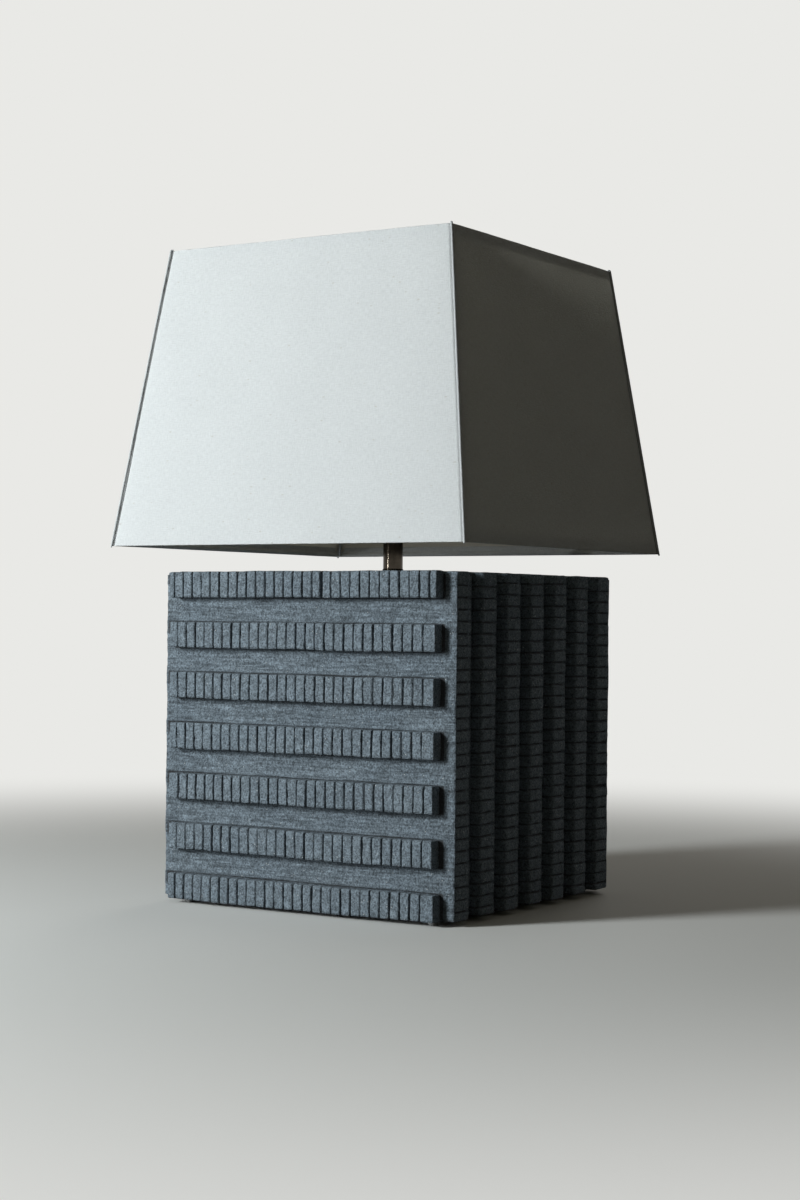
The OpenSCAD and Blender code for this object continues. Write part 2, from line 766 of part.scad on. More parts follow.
front_wall();
right_wall();
back_wall();
left_wall();
top_slab();
bumper_feet();
cord_grommet();
lamp_pipe();
cushion_washer();
slab_washer();
pipe_nut();
neck_seat_ring();
neck_tube();
neck_check_ring();
harp_saddle();
left_ferrule();
right_ferrule();
harp();
harp_stud();
holder_cap();
cap_setscrew();
holder_shell();
insulating_sleeve();
switch_body();
terminal_screws();
screw_shell();
centre_contact();
switch_stem();
switch_knob();
bulb_screw_cap();
bulb_insulator();
bulb_tip();
bulb_glass();
finial();
shade_fitter();
upper_wire();
lower_wire();
corner_ribs();
upper_hem();
lower_hem();
front_panel();
right_panel();
back_panel();
left_panel();
corner_seams();
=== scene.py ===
import math

import bmesh
import bpy
import numpy as np
from mathutils import Matrix, Vector


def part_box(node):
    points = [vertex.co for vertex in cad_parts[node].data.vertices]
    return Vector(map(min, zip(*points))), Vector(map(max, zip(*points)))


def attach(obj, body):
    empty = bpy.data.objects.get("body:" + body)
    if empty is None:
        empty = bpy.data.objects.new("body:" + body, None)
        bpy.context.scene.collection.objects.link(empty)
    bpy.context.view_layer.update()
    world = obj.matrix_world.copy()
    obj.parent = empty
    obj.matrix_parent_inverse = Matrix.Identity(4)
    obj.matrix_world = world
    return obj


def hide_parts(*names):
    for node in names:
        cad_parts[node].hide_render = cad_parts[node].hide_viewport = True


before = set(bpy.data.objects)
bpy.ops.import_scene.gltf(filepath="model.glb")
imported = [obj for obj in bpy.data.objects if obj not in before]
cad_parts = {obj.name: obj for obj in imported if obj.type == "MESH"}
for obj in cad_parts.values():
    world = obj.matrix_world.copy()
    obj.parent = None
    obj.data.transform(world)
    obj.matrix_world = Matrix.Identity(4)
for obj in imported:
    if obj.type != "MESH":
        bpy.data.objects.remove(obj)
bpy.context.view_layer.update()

# Camera
# The view of the photograph: level, a little below the top of the block, turned to show the front and
# right sides, and leaning by half a degree as the photograph does.
PHOTO_HEIGHT = 1200
FOCAL_PIXELS = 2168.85
HORIZON_PIXELS_LOW = 14.4
CAMERA_SPOT = (1.1074, -1.7607, 0.2705)
CAMERA_TURN = 0.558
CAMERA_LEAN = 0.0088
camera = bpy.data.objects.new("camera", bpy.data.cameras.new("camera"))
bpy.context.scene.collection.objects.link(camera)
camera.matrix_world = (
    Matrix.Translation(CAMERA_SPOT)
    @ Matrix.Rotation(CAMERA_TURN, 4, "Z")
    @ Matrix.Rotation(math.radians(90), 4, "X")
    @ Matrix.Rotation(CAMERA_LEAN, 4, "Z")
)
camera.data.sensor_width = 36
camera.data.lens = camera.data.sensor_width * FOCAL_PIXELS / PHOTO_HEIGHT
camera.data.shift_y = HORIZON_PIXELS_LOW / PHOTO_HEIGHT
camera.data.clip_start = 0.05
bpy.context.scene.camera = camera
bpy.context.scene.view_settings.view_transform = "Standard"


# Studio
# A pale matt floor that fades into an even pale surround, a soft lamp from the left front, which leaves the
# right side in shade as in the photograph, a low one under it that reaches the neck and the inside of the
# shade, a weak wide lamp behind for the back, and a low warm fill.
def paint(hex_colour):
    """An sRGB hex colour as linear red, green, blue and alpha."""
    values = [int(hex_colour[i:i + 2], 16) / 255 for i in (1, 3, 5)]
    return [v / 12.92 if v <= 0.04045 else ((v + 0.055) / 1.055) ** 2.4 for v in values] + [1.0]


def link(tree, node, inputs):
    """Sets inputs of a node, listed or by number or name: each is a value, a socket, or a node for that
    node's first output."""
    for key, value in inputs.items() if isinstance(inputs, dict) else enumerate(inputs):
        if isinstance(value, bpy.types.Node):
            value = value.outputs[0]
        if isinstance(value, bpy.types.NodeSocket):
            tree.links.new(value, node.inputs[key])
        else:
            node.inputs[key].default_value = value


def add(tree, kind, inputs=(), **settings):
    """Adds a node, whose kind goes without ShaderNode in front and can end in an operation."""
    kind, _, operation = kind.partition(" ")
    node = tree.nodes.new(kind if "Node" in kind else "ShaderNode" + kind)
    if operation:
        node.operation = operation
    for name, value in settings.items():
        setattr(node, name, value)
    link(tree, node, inputs)
    return node


def chained(tree, value, *steps):
    """Passes a value through one node after another. Each step is a kind and that node's other inputs."""
    for kind, *others in steps:
        value = add(tree, kind, [value, *others])
    return value


def emptied(made):
    """A new world or material with its node tree cleared, and that tree."""
    made.use_nodes = True
    made.node_tree.nodes.clear()
    return made, made.node_tree


def seen_itself(tree):
    """1 where a thing is seen straight, mirrored or through glass, 0 where only its light is asked for."""
    ray = add(tree, "LightPath").outputs
    seen = chained(tree, ray["Is Camera Ray"], ("Math MAXIMUM", ray["Is Glossy Ray"]),
                   ("Math MAXIMUM", ray["Is Transmission Ray"]))
    return add(tree, "Math SUBTRACT", [seen, ray["Is Diffuse Ray"]], use_clamp=True)


SURROUND = "#e9e9e6"
FILL = 0.049

world, tree = emptied(bpy.data.worlds.new("studio"))
bpy.context.scene.world = world
fill = add(tree, "Background", {"Color": (1.0, 0.93, 0.74, 1), "Strength": FILL})
backdrop = add(tree, "Background", {"Color": paint(SURROUND), "Strength": 1.0})
sky = add(tree, "MixShader", [seen_itself(tree), fill, backdrop])
add(tree, "OutputWorld", {"Surface": sky})

# Each lamp's width and height in metres, its watts, its colour and its place. All are aimed at one spot.
AIMED_AT = Vector((0, 0, 0.28))
for name, width, height, energy, colour, spot in (
        ("key_lamp", 0.54, 0.54, 41.5, (0.93, 0.985, 1.0), (-1.07, -1.84, 0.78)),
        ("low_lamp", 0.07, 0.46, 9, (0.95, 0.985, 1.0), (-1.15, -2.0, 0.26)),
        ("back_lamp", 2.0, 2.0, 18, (1.0, 0.98, 0.95), (-0.6, 3.2, 1.5))):
    lamp = bpy.data.objects.new(name, bpy.data.lights.new(name, "AREA"))
    bpy.context.scene.collection.objects.link(lamp)
    lamp.data.shape = "ELLIPSE"
    lamp.data.size = width
    lamp.data.size_y = height
    lamp.data.energy = energy
    lamp.data.color = colour
    lamp.location = spot
    lamp.rotation_euler = (AIMED_AT - lamp.location).to_track_quat("-Z", "Y").to_euler()

FLOOR_RADIUS = 14.0
FADE_START = 0.35
FADE_END = 1.7
floor_mesh = bpy.data.meshes.new("floor")
bm = bmesh.new()
bmesh.ops.create_circle(bm, cap_ends=True, radius=FLOOR_RADIUS, segments=96)
bm.to_mesh(floor_mesh)
bm.free()
floor = bpy.data.objects.new("floor", floor_mesh)
bpy.context.scene.collection.objects.link(floor)

# Matt painted board, pale and even: no gloss, and beyond the lamp's shadow it is as bright as the surround
painted_board, tree = emptied(bpy.data.materials.new("painted_board"))
place = add(tree, "TexCoord").outputs["Object"]
far = add(tree, "VectorMath LENGTH", [place]).outputs["Value"]
fade = add(tree, "MapRange", [far, FADE_START, FADE_END], interpolation_type="SMOOTHERSTEP")
seen = seen_itself(tree)
fade = add(tree, "Math MULTIPLY", [fade, seen])
tone = add(tree, "Mix", {0: seen, 6: paint("#5c5c59"), 7: paint("#f4f4f1")}, data_type="RGBA")
board = add(tree, "BsdfDiffuse", {"Color": tone.outputs[2]})
glow = add(tree, "Emission", {"Color": paint(SURROUND), "Strength": 1.0})
add(tree, "OutputMaterial", {"Surface": add(tree, "MixShader", [fade, board, glow])})
floor_mesh.materials.append(painted_board)


# Stoneware block
# Four slabs and a top slab of coarse grogged clay, joined with slip, with seven scored clay bars luted on
# each side: level at the front and back, upright at the right and left. Smoothed by hand and fired unglazed.
MM = 0.001
slab_low, slab_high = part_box("top_slab")
wall_low, wall_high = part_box("front_wall")
HALF = slab_high.x
BLOCK_TOP = slab_high.z
BLOCK_BOTTOM = wall_low.z
CEILING = slab_low.z
INNER_HALF = -wall_high.y
BAR_T = -HALF - wall_low.y
BAR_W = 24 * MM
BAR_COUNT = 7
LEVEL_PITCH = (BLOCK_TOP - BLOCK_BOTTOM - BAR_W) / (BAR_COUNT - 1)
UPRIGHT_PITCH = (2 * HALF - BAR_W) / (BAR_COUNT - 1)
PIPE_HOLE_R = 6 * MM
INLET_R = 6 * MM


def bake(obj):
    """Applies all modifiers of an object to its mesh."""
    mesh = bpy.data.meshes.new_from_object(obj.evaluated_get(bpy.context.evaluated_depsgraph_get()))
    obj.modifiers.clear()
    obj.data = mesh
    return obj


def new_object(name, *parts):
    """An object made of closed parts, each a pair of points and faces, with its faces turned outwards."""
    mesh = bpy.data.meshes.new(name)
    points, faces = [], []
    for part_points, part_faces in parts:
        faces += [[len(points) + i for i in face] for face in part_faces]
        points += [tuple(point) for point in part_points]
    mesh.from_pydata(points, [], faces)
    bm = bmesh.new()
    bm.from_mesh(mesh)
    bmesh.ops.remove_doubles(bm, verts=bm.verts, dist=1e-7)
    bmesh.ops.dissolve_degenerate(bm, edges=bm.edges, dist=1e-8)
    bmesh.ops.recalc_face_normals(bm, faces=bm.faces)
    bm.to_mesh(mesh)
    bm.free()
    obj = bpy.data.objects.new(name, mesh)
    bpy.context.scene.collection.objects.link(obj)
    return obj


def skin(grid, wrap_rows=False):
    """Points and faces of a grid whose rows each run round once. Its first and last rows can be joined."""
    grid = np.array(grid)
    rows, columns = grid.shape[:2]
    faces = [(r * columns + c, r * columns + (c + 1) % columns,
              (r + 1) % rows * columns + (c + 1) % columns, (r + 1) % rows * columns + c)
             for r in range(rows if wrap_rows else rows - 1) for c in range(columns)]
    return grid.reshape(-1, 3), faces


def lathe(profile, steps=48, closed=False, bend=None):
    """A turned part about Z from (radius, height) points: a closed ring, or a run from axis to axis."""
    profile = np.array([tuple(p)[:2] for p in profile], float)
    turn = np.arange(steps) * 2 * math.pi / steps
    radius = np.repeat(profile[:, :1], steps, 1)
    height = np.repeat(profile[:, 1:], steps, 1)
    if bend:
        radius = bend(turn[None, :], radius, height)
    return skin(np.stack([radius * np.cos(turn), radius * np.sin(turn), height], -1), closed)


def moved(part, matrix):
    """A part turned and moved by a matrix."""
    points, faces = part
    matrix = np.array(matrix)
    return np.asarray(points) @ matrix[:3, :3].T + matrix[:3, 3], faces


def combine(obj, part, operation="DIFFERENCE"):
    """Cuts a closed part out of an object, or joins it on."""
    other = new_object("other", part)
    modifier = obj.modifiers.new("combine", "BOOLEAN")
    modifier.object = other
    modifier.operation = operation
    modifier.solver = "EXACT"
    bake(obj)
    bpy.data.objects.remove(other)


def peg(radius, low, high, steps):
    """A plain cylinder about Z."""
    return lathe([(0, low), (radius, low), (radius, high), (0, high)], steps)


def mark(obj, **values):
    """Gives every point of an object these numbers, for its material or a Geometry Nodes tree to read."""
    for name, numbers in values.items():
        obj.data.attributes.new(name, "FLOAT", "POINT").data.foreach_set("value", numbers)


def grow(obj, tree, values):
    """Runs a Geometry Nodes tree on an object with these inputs, and keeps the result as its mesh."""
    modifier = obj.modifiers.new(tree.name, "NODES")
    modifier.node_group = tree
    sockets = {item.name: item.identifier for item in tree.interface.items_tree if item.in_out == "INPUT"}
    for name, value in values.items():
        modifier[sockets[name]] = value
    return bake(obj)


def node_tree(name, inputs):
    """A Geometry Nodes tree with these inputs. Returns it with its input node and its output node."""
    tree = bpy.data.node_groups.new(name, "GeometryNodeTree")
    for label, kind in inputs.items():
        tree.interface.new_socket(name=label, in_out="INPUT", socket_type="NodeSocket" + kind)
    tree.interface.new_socket(name="Geometry", in_out="OUTPUT", socket_type="NodeSocketGeometry")
    return tree, add(tree, "NodeGroupInput").outputs, add(tree, "NodeGroupOutput")


# Unglazed charcoal stoneware, pressed and scraped by hand: matt and blue-grey, as coarse as sandpaper, with
# pale grog that catches the light. Painted shade, near black and a little brown, lies deep in the scores
# and creases. The grain is drawn at 1.5 mm, coarser than the 0.5 mm grog, so that it shows.
STREAKS_ALONG, STREAKS_ACROSS = 45, 620  # to a metre
stoneware, tree = emptied(bpy.data.materials.new("charcoal_stoneware"))
place = add(tree, "TexCoord").outputs["Object"]
patches = add(tree, "TexNoise", {"Vector": place, "Scale": 1 / (40 * MM), "Detail": 3.0})
mottle = add(tree, "TexNoise", {"Vector": place, "Scale": 1 / (5 * MM), "Detail": 3.0, "Roughness": 0.6})
grain = add(tree, "TexNoise", {"Vector": place, "Scale": 1 / (1.5 * MM), "Detail": 2.0, "Roughness": 0.6})
grog = add(tree, "TexVoronoi", {"Vector": place, "Scale": 1 / (2.2 * MM), "Randomness": 1.0})
pick = add(tree, "SeparateColor", [grog.outputs["Color"]])
body = add(tree, "Mix", {0: patches, 6: paint("#68747e"), 7: paint("#7a858d")}, data_type="RGBA")
tone = add(tree, "MapRange", [mottle, 0.3, 0.7, 0.76, 1.2])
body = add(tree, "VectorMath SCALE", {0: body.outputs[2], 3: tone})
tone = add(tree, "MapRange", [grain, 0.32, 0.66, 0.44, 1.48])
body = add(tree, "VectorMath SCALE", {0: body, 3: tone})
near = add(tree, "MapRange", [grog.outputs["Distance"], 0.12, 0.3, 1.0, 0.0])
pale = chained(tree, pick.outputs[0], ("Math GREATER_THAN", 0.95), ("Math MULTIPLY", near))
body = add(tree, "Mix", {0: pale, 6: body, 7: paint("#cdd2d4")}, data_type="RGBA")
# Drag-mark streaks on the strips between the bars, darker on the whole than the bars: partly the clay's own
# streaked tone, partly painted shade of the strips under the bars
drag = add(tree, "Attribute", attribute_name="drag").outputs["Fac"]
level = add(tree, "VectorMath MULTIPLY", [place, (STREAKS_ALONG, STREAKS_ALONG, STREAKS_ACROSS)])
upright = add(tree, "VectorMath MULTIPLY", [place, (STREAKS_ALONG, STREAKS_ACROSS, STREAKS_ALONG)])
on_upright = add(tree, "Math LESS_THAN", [drag, 0.0])
streaks_and_shade = add(tree, "Mix", {0: on_upright, 4: level, 5: upright}, data_type="VECTOR")
streaks_and_shade = add(tree, "TexNoise", {"Vector": streaks_and_shade.outputs[1], "Scale": 1.0, "Detail": 3.0})
streaks_and_shade = add(tree, "MapRange", [streaks_and_shade, 0.3, 0.7, -0.48, 0.16])
dragged = add(tree, "Math ABSOLUTE", [drag])
streaks_and_shade = add(tree, "Math MULTIPLY_ADD", [streaks_and_shade, dragged, 1.0])
body = add(tree, "VectorMath SCALE", {0: body.outputs[2], 3: streaks_and_shade})
# Painted shade: the colour goes to a near-black brown deep in each score and in the crease beside each bar
score = add(tree, "Attribute", attribute_name="score")
score = add(tree, "Math MULTIPLY", [score.outputs["Fac"], 0.85])
body = add(tree, "Mix", {0: score, 6: body, 7: paint("#2a2827")}, data_type="RGBA")
rough = add(tree, "MapRange", [pale, 0.0, 1.0, 0.92, 0.45])
height = add(tree, "Math MULTIPLY_ADD", [mottle, 0.6, grain])
height = add(tree, "Math MULTIPLY_ADD", [pale, 0.3, height])
bump = add(tree, "Bump", {"Height": height, "Strength": 1.0, "Distance": 1.5 * MM})
shader = add(tree, "BsdfPrincipled", {"Base Color": body.outputs[2], "Roughness": rough, "Normal": bump,
                                      "IOR": 1.5, "Specular IOR Level": 0.35})
add(tree, "OutputMaterial", {"Surface": shader})

# The scored bars of one side, which lie along X, stand out along Y from the root and are stacked along Z.
# Each is a box of rings set on a point, closer at the scores, which start anew on every bar. It is rounded,
# and then cut in and made uneven.
BUNCHED = 0.45
UNSCORED_END = 5 * MM
RINGS_PER_SCORE = 12
bars_tree, given, result = node_tree("scored_bars", {
    "Geometry": "Geometry", "Length": "Float", "Height": "Float", "Thickness": "Float", "Root": "Float",
    "Corner": "Float", "Bar Pitch": "Float", "Score Pitch": "Float", "Rings": "Int", "Score Width": "Float",
    "Score Depth": "Float", "Unevenness": "Float", "Seed": "Float", "Joint Bar": "Float",
    "Joint Score": "Float", "Material": "Material"})
tree = bars_tree
depth_all = add(tree, "Math ADD", [given["Thickness"], given["Root"]])
size = add(tree, "CombineXYZ", [given["Length"], depth_all, given["Height"]])
bar = add(tree, "GeometryNodeMeshCube", {"Size": size, "Vertices X": given["Rings"], "Vertices Y": 6,
                                         "Vertices Z": 12})
bar = add(tree, "GeometryNodeStoreNamedAttribute", {
    "Geometry": bar, "Name": "place", "Value": add(tree, "GeometryNodeInputPosition")},
    data_type="FLOAT_VECTOR", domain="POINT")
bars = add(tree, "GeometryNodeInstanceOnPoints", {"Points": given["Geometry"], "Instance": bar})
bars = add(tree, "GeometryNodeRealizeInstances", [bars])
centre = add(tree, "GeometryNodeInputNamedAttribute", {"Name": "place"}, data_type="FLOAT_VECTOR")
phase = add(tree, "GeometryNodeInputNamedAttribute", {"Name": "phase"}, data_type="FLOAT")
trim = add(tree, "GeometryNodeInputNamedAttribute", {"Name": "trim"}, data_type="FLOAT")
half = add(tree, "VectorMath SCALE", {0: size, 3: 0.5})
along = add(tree, "SeparateXYZ", [add(tree, "VectorMath", [centre, half])])
count = chained(tree, along.outputs[0], ("Math DIVIDE", given["Score Pitch"]), ("Math SUBTRACT", phase))
turn = add(tree, "Math MULTIPLY", [count, 2 * math.pi])
swing = chained(tree, turn, ("Math SINE",), ("Math MULTIPLY", -BUNCHED / (2 * math.pi)),
                ("Math MULTIPLY", given["Score Pitch"]))
shift = add(tree, "CombineXYZ", [swing])
point = add(tree, "VectorMath", [centre, shift])
edge = add(tree, "CombineXYZ", [given["Corner"], given["Corner"], given["Corner"]])
core = add(tree, "VectorMath SUBTRACT", [half, edge])
trimmed = add(tree, "CombineXYZ", [trim])
core_low = add(tree, "VectorMath SUBTRACT", [trimmed, core])
half_low = add(tree, "VectorMath SUBTRACT", [trimmed, half])
point = chained(tree, point, ("VectorMath MINIMUM", half), ("VectorMath MAXIMUM", half_low))
inside = chained(tree, point, ("VectorMath MINIMUM", core), ("VectorMath MAXIMUM", core_low))
out = chained(tree, point, ("VectorMath SUBTRACT", inside), ("VectorMath NORMALIZE",))
out = add(tree, "VectorMath SCALE", {0: out, 3: given["Corner"]})
round_point = add(tree, "VectorMath", [inside, out])
change = add(tree, "VectorMath SUBTRACT", [round_point, centre])
lift = chained(tree, given["Thickness"], ("Math SUBTRACT", given["Root"]), ("Math MULTIPLY", 0.5))
change = add(tree, "VectorMath", [change, add(tree, "CombineXYZ", {1: lift})])
bars = add(tree, "GeometryNodeSetPosition", {"Geometry": bars, "Offset": change})
bars = add(tree, "GeometryNodeMergeByDistance", {"Geometry": bars, "Distance": 0.001 * MM})

point = add(tree, "GeometryNodeInputPosition")
axes = add(tree, "SeparateXYZ", [point])
half_x = add(tree, "Math MULTIPLY", [given["Length"], 0.5])
reach = add(tree, "Math ADD", [axes.outputs[0], half_x])
count = chained(tree, reach, ("Math DIVIDE", given["Score Pitch"]), ("Math SUBTRACT", phase))
score_number = add(tree, "Math ROUND", [count])
block_number = add(tree, "Math FLOOR", [count])
level = add(tree, "Math DIVIDE", [axes.outputs[2], given["Bar Pitch"]])
bar_number = add(tree, "Math ROUND", [level])
apart = chained(tree, count, ("Math SUBTRACT", score_number), ("Math MULTIPLY", given["Score Pitch"]),
                ("Math ABSOLUTE",))
chance = add(tree, "CombineXYZ", [score_number, bar_number, given["Seed"]])
chance = add(tree, "TexWhiteNoise", {"Vector": chance})
chances = add(tree, "SeparateXYZ", [chance.outputs["Color"]])
score_at = chained(tree, score_number, ("Math ADD", phase), ("Math MULTIPLY", given["Score Pitch"]))
from_low = add(tree, "Math SUBTRACT", [score_at, trim])
from_high = add(tree, "Math SUBTRACT", [given["Length"], score_at])
from_end = add(tree, "Math MINIMUM", [from_low, from_high])
scored = add(tree, "Math GREATER_THAN", [from_end, UNSCORED_END])
joint = add(tree, "Math COMPARE", [score_number, given["Joint Score"], 0.1])
joint_bar = add(tree, "Math COMPARE", [bar_number, given["Joint Bar"], 0.1])
joint = add(tree, "Math MULTIPLY", [joint, joint_bar])
ragged = add(tree, "TexNoise", {"Vector": point, "Scale": 1 / (3.4 * MM), "Detail": 2.0})
cuts = []
for number, (label, least, from_rags, from_joint) in enumerate((
        ("Score Depth", 0.4, 0.6, 0.6), ("Score Width", 0.1, 0.9, 0.8))):
    much = add(tree, "Math MULTIPLY_ADD", [chances.outputs[number], 0.4, least])
    much = add(tree, "Math MULTIPLY_ADD", [ragged, from_rags, much])
    cuts.append(chained(tree, joint, ("Math MULTIPLY_ADD", from_joint, much),
                        ("Math MULTIPLY", given[label])))
deep, wide = cuts
groove = chained(tree, apart, ("Math DIVIDE", wide), ("Math POWER", 4.0), ("Math MULTIPLY", -1.0),
                 ("Math EXPONENT",), ("Math MULTIPLY", scored))
cut = add(tree, "Math MULTIPLY", [groove, deep])
chance = add(tree, "CombineXYZ", [block_number, given["Seed"], bar_number])
chance = add(tree, "TexWhiteNoise", {"Vector": chance})
sunk = add(tree, "Math MULTIPLY", [chance.outputs["Value"], given["Unevenness"]])
cut = add(tree, "Math ADD", [cut, sunk])
outward = add(tree, "Math DIVIDE", [axes.outputs[1], given["Thickness"]], use_clamp=True)
cut = chained(tree, cut, ("Math MULTIPLY", outward), ("Math MULTIPLY", -1.0))
bends = []
for reach, detail, amount in ((20 * MM, 3.0, (1.3 * MM, 0, 0)), (90 * MM, 1.0, (0, 0, 2.6 * MM))):
    bend = add(tree, "TexNoise", {"Vector": point, "Scale": 1 / reach, "Detail": detail})
    bends.append(chained(tree, bend.outputs["Color"], ("VectorMath SUBTRACT", (0.5, 0.5, 0.5)),
                         ("VectorMath MULTIPLY", amount)))
offset = chained(tree, bends[0], ("VectorMath", bends[1]), ("VectorMath", add(tree, "CombineXYZ", {1: cut})))
# The groove is kept on the points, for the stoneware to paint shade deep in each score
bars = add(tree, "GeometryNodeStoreNamedAttribute", {"Geometry": bars, "Name": "score", "Value": groove},
           data_type="FLOAT", domain="POINT")
bars = add(tree, "GeometryNodeSetPosition", {"Geometry": bars, "Offset": offset})
bars = add(tree, "GeometryNodeSetMaterial", {"Geometry": bars, "Material": given["Material"]})
link(tree, result, [bars])

# Hand-pressed clay: wide swells, thumb-sized lumps and coarse grit, in the block's own space, so that slabs
# and bars move together, and shallow drag marks along the strips between the bars.
DRAG_ALONG, DRAG_ACROSS = 20, 210  # to a metre
clay_tree, given, result = node_tree("pressed_clay", {
    "Geometry": "Geometry", "Swell": "Float", "Lump": "Float", "Grit": "Float", "Drag": "Float",
    "Material": "Material"})
tree = clay_tree
point = add(tree, "GeometryNodeInputPosition")
facing = add(tree, "GeometryNodeInputNormal")
total = 0.0
for label, grain_size in (("Swell", 38 * MM), ("Lump", 11 * MM), ("Grit", 4.2 * MM)):
    wave = add(tree, "TexNoise", {"Vector": point, "Scale": 1 / grain_size, "Detail": 2.0})
    total = chained(tree, wave, ("Math SUBTRACT", 0.5), ("Math MULTIPLY_ADD", given[label], total))
normal = add(tree, "SeparateXYZ", [facing])
sideways = chained(tree, normal.outputs[0], ("Math ABSOLUTE",), ("Math GREATER_THAN", 0.7))
level_marks = add(tree, "VectorMath MULTIPLY", [point, (DRAG_ALONG, DRAG_ALONG, DRAG_ACROSS)])
upright_marks = add(tree, "VectorMath MULTIPLY", [point, (DRAG_ALONG, DRAG_ACROSS, DRAG_ALONG)])
marks = add(tree, "Mix", {0: sideways, 4: level_marks, 5: upright_marks}, data_type="VECTOR")
marks = add(tree, "TexNoise", {"Vector": marks.outputs[1], "Scale": 1.0, "Detail": 2.0})
total = chained(tree, marks, ("Math SUBTRACT", 0.5), ("Math MULTIPLY_ADD", given["Drag"], total))
push = add(tree, "VectorMath SCALE", {0: facing, 3: total})
shaped = add(tree, "GeometryNodeSetPosition", {"Geometry": given["Geometry"], "Offset": push})
shaped = add(tree, "GeometryNodeSetMaterial", {"Geometry": shaped, "Material": given["Material"]})
link(tree, result, [shaped])
CLAY = {"Swell": 1.2 * MM, "Lump": 0.6 * MM, "Grit": 0.5 * MM, "Drag": 0.0, "Material": stoneware}


def smooth(obj):
    """Shades an object smooth."""
    obj.data.polygons.foreach_set("use_smooth", [True] * len(obj.data.polygons))
    obj.data.update()


def hold_clay(obj, *nodes):
    """Finishes a piece of the block."""
    smooth(obj)
    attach(obj, "lamp")
    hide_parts(*nodes)


level_place = Matrix.Translation((0, HALF, BLOCK_BOTTOM + BAR_W / 2))
upright_turn = Matrix(((0, 1, 0, 0), (0, 0, 1, 0), (1, 0, 0, 0), (0, 0, 0, 1)))
upright_place = Matrix.Translation((HALF, -HALF + BAR_W / 2, (BLOCK_BOTTOM + BLOCK_TOP) / 2)) @ upright_turn
half_turn = Matrix.Rotation(math.pi, 4, "Z")
# For each side: its place, the bars' length and pitch, the score with the wider joint, the scores' pitch,
# where they start on each bar, as a share of that pitch, how many mm short each bar is, and its cut: how
# wide and deep the scores, how round the edges and how uneven the blocks between them are.
LEVEL_CUT = (0.85 * MM, 3.2 * MM, 1.1 * MM, 0.4 * MM)
UPRIGHT_CUT = (1.2 * MM, 3.4 * MM, 1.7 * MM, 0.9 * MM)
HEIGHT = BLOCK_TOP - BLOCK_BOTTOM
SIDES = {
    "front": (half_turn @ level_place, 2 * HALF, LEVEL_PITCH, 11, 10.27 * MM,
              (0.57, 0.41, 0.28, 0.52, 0.45, 0.49, 0.87), (2.4, 4.2, 4.0, 3.2, 3.8, 2.6, 1.8), LEVEL_CUT),
    "right": (upright_place, HEIGHT, UPRIGHT_PITCH, 9, 10.5 * MM,
              (0.8, 0.76, 0.13, 0.11, 0.21, 0.86, 0.64), (0.3, 0.9, 0.5, 1.2, 0.4, 0.8, 0.6), UPRIGHT_CUT),
    "back": (level_place, 2 * HALF, LEVEL_PITCH, 20, 10.4 * MM,
             (0.31, 0.74, 0.12, 0.93, 0.5, 0.22, 0.66), (2.9, 2.2, 3.6, 4.1, 2.5, 3.3, 2.0), LEVEL_CUT),
    "left": (half_turn @ upright_place, HEIGHT, UPRIGHT_PITCH, 23, 10.3 * MM,
             (0.85, 0.24, 0.57, 0.08, 0.71, 0.36, 0.95), (0.7, 0.4, 1.1, 0.6, 0.9, 0.5, 0.8), UPRIGHT_CUT),
}
for number, (side, settings) in enumerate(SIDES.items()):
    side_place, length, bar_pitch, joint_score, score_pitch, phases, trims, cut = settings
    bars = new_object(side + "_bars", ([(0, 0, k * bar_pitch) for k in range(BAR_COUNT)], []))
    mark(bars, phase=phases, trim=[t * MM for t in trims])
    grow(bars, bars_tree, {
        "Length": length - 0.6 * MM, "Height": BAR_W, "Thickness": BAR_T, "Root": 0.8 * MM, "Corner": cut[2],
        "Bar Pitch": bar_pitch, "Score Pitch": score_pitch,
        "Rings": round(length / score_pitch * RINGS_PER_SCORE),
        "Score Width": cut[0], "Score Depth": cut[1], "Unevenness": cut[3], "Seed": 3.7 + number,
        "Joint Bar": float(BAR_COUNT - 1), "Joint Score": float(joint_score), "Material": stoneware})
    bars.data.transform(side_place)
    grow(bars, clay_tree, CLAY)
    hold_clay(bars, side + "_wall")

# The slabs, as one closed skin: up the inside, over the ceiling, out through the pipe hole, over the top and
# down the outside. Its front and back faces run on over the flanks of the outer upright bars, where slip
# hides the joint, and dive in at the bar's edge. Clay is smeared up in a small fillet beside every bar.
EAR = BAR_T - 1.0 * MM
EAR_PROUD = 0.3 * MM
EDGE_R = 2.6 * MM
FILLET_RISE = 1.7 * MM
FILLET_REACH = 2.8 * MM
CREASE_DEPTH = 1.8 * MM
CREASE_REACH = 0.75 * MM
FLANK_RUN = 9 * MM
COVE_R = 4 * MM
HOLE_EDGE = 0.6 * MM
LOWER_EDGE_R = 1.5 * MM
side_steps = np.array([-2.5, -0.6, 0.3, 1.2, 2.2, 3.8, 6.2, 9.0]) * MM


def strip_stops(bar_pitch, first_edge, filled):
    """Places across the strips between the bars, closer beside the bars, with a few more behind each bar."""
    stops = []
    for k in range(BAR_COUNT - 1):
        low = first_edge + k * bar_pitch + BAR_W
        high = low + bar_pitch - BAR_W
        stops += [low + s for s in side_steps] + [(low + high) / 2] + [high - s for s in side_steps[::-1]]
        if filled and k < BAR_COUNT - 2:
            stops += list(np.linspace(high + 3 * MM, high + BAR_W - 3 * MM, filled + 2)[1:-1])
    return np.array(stops)


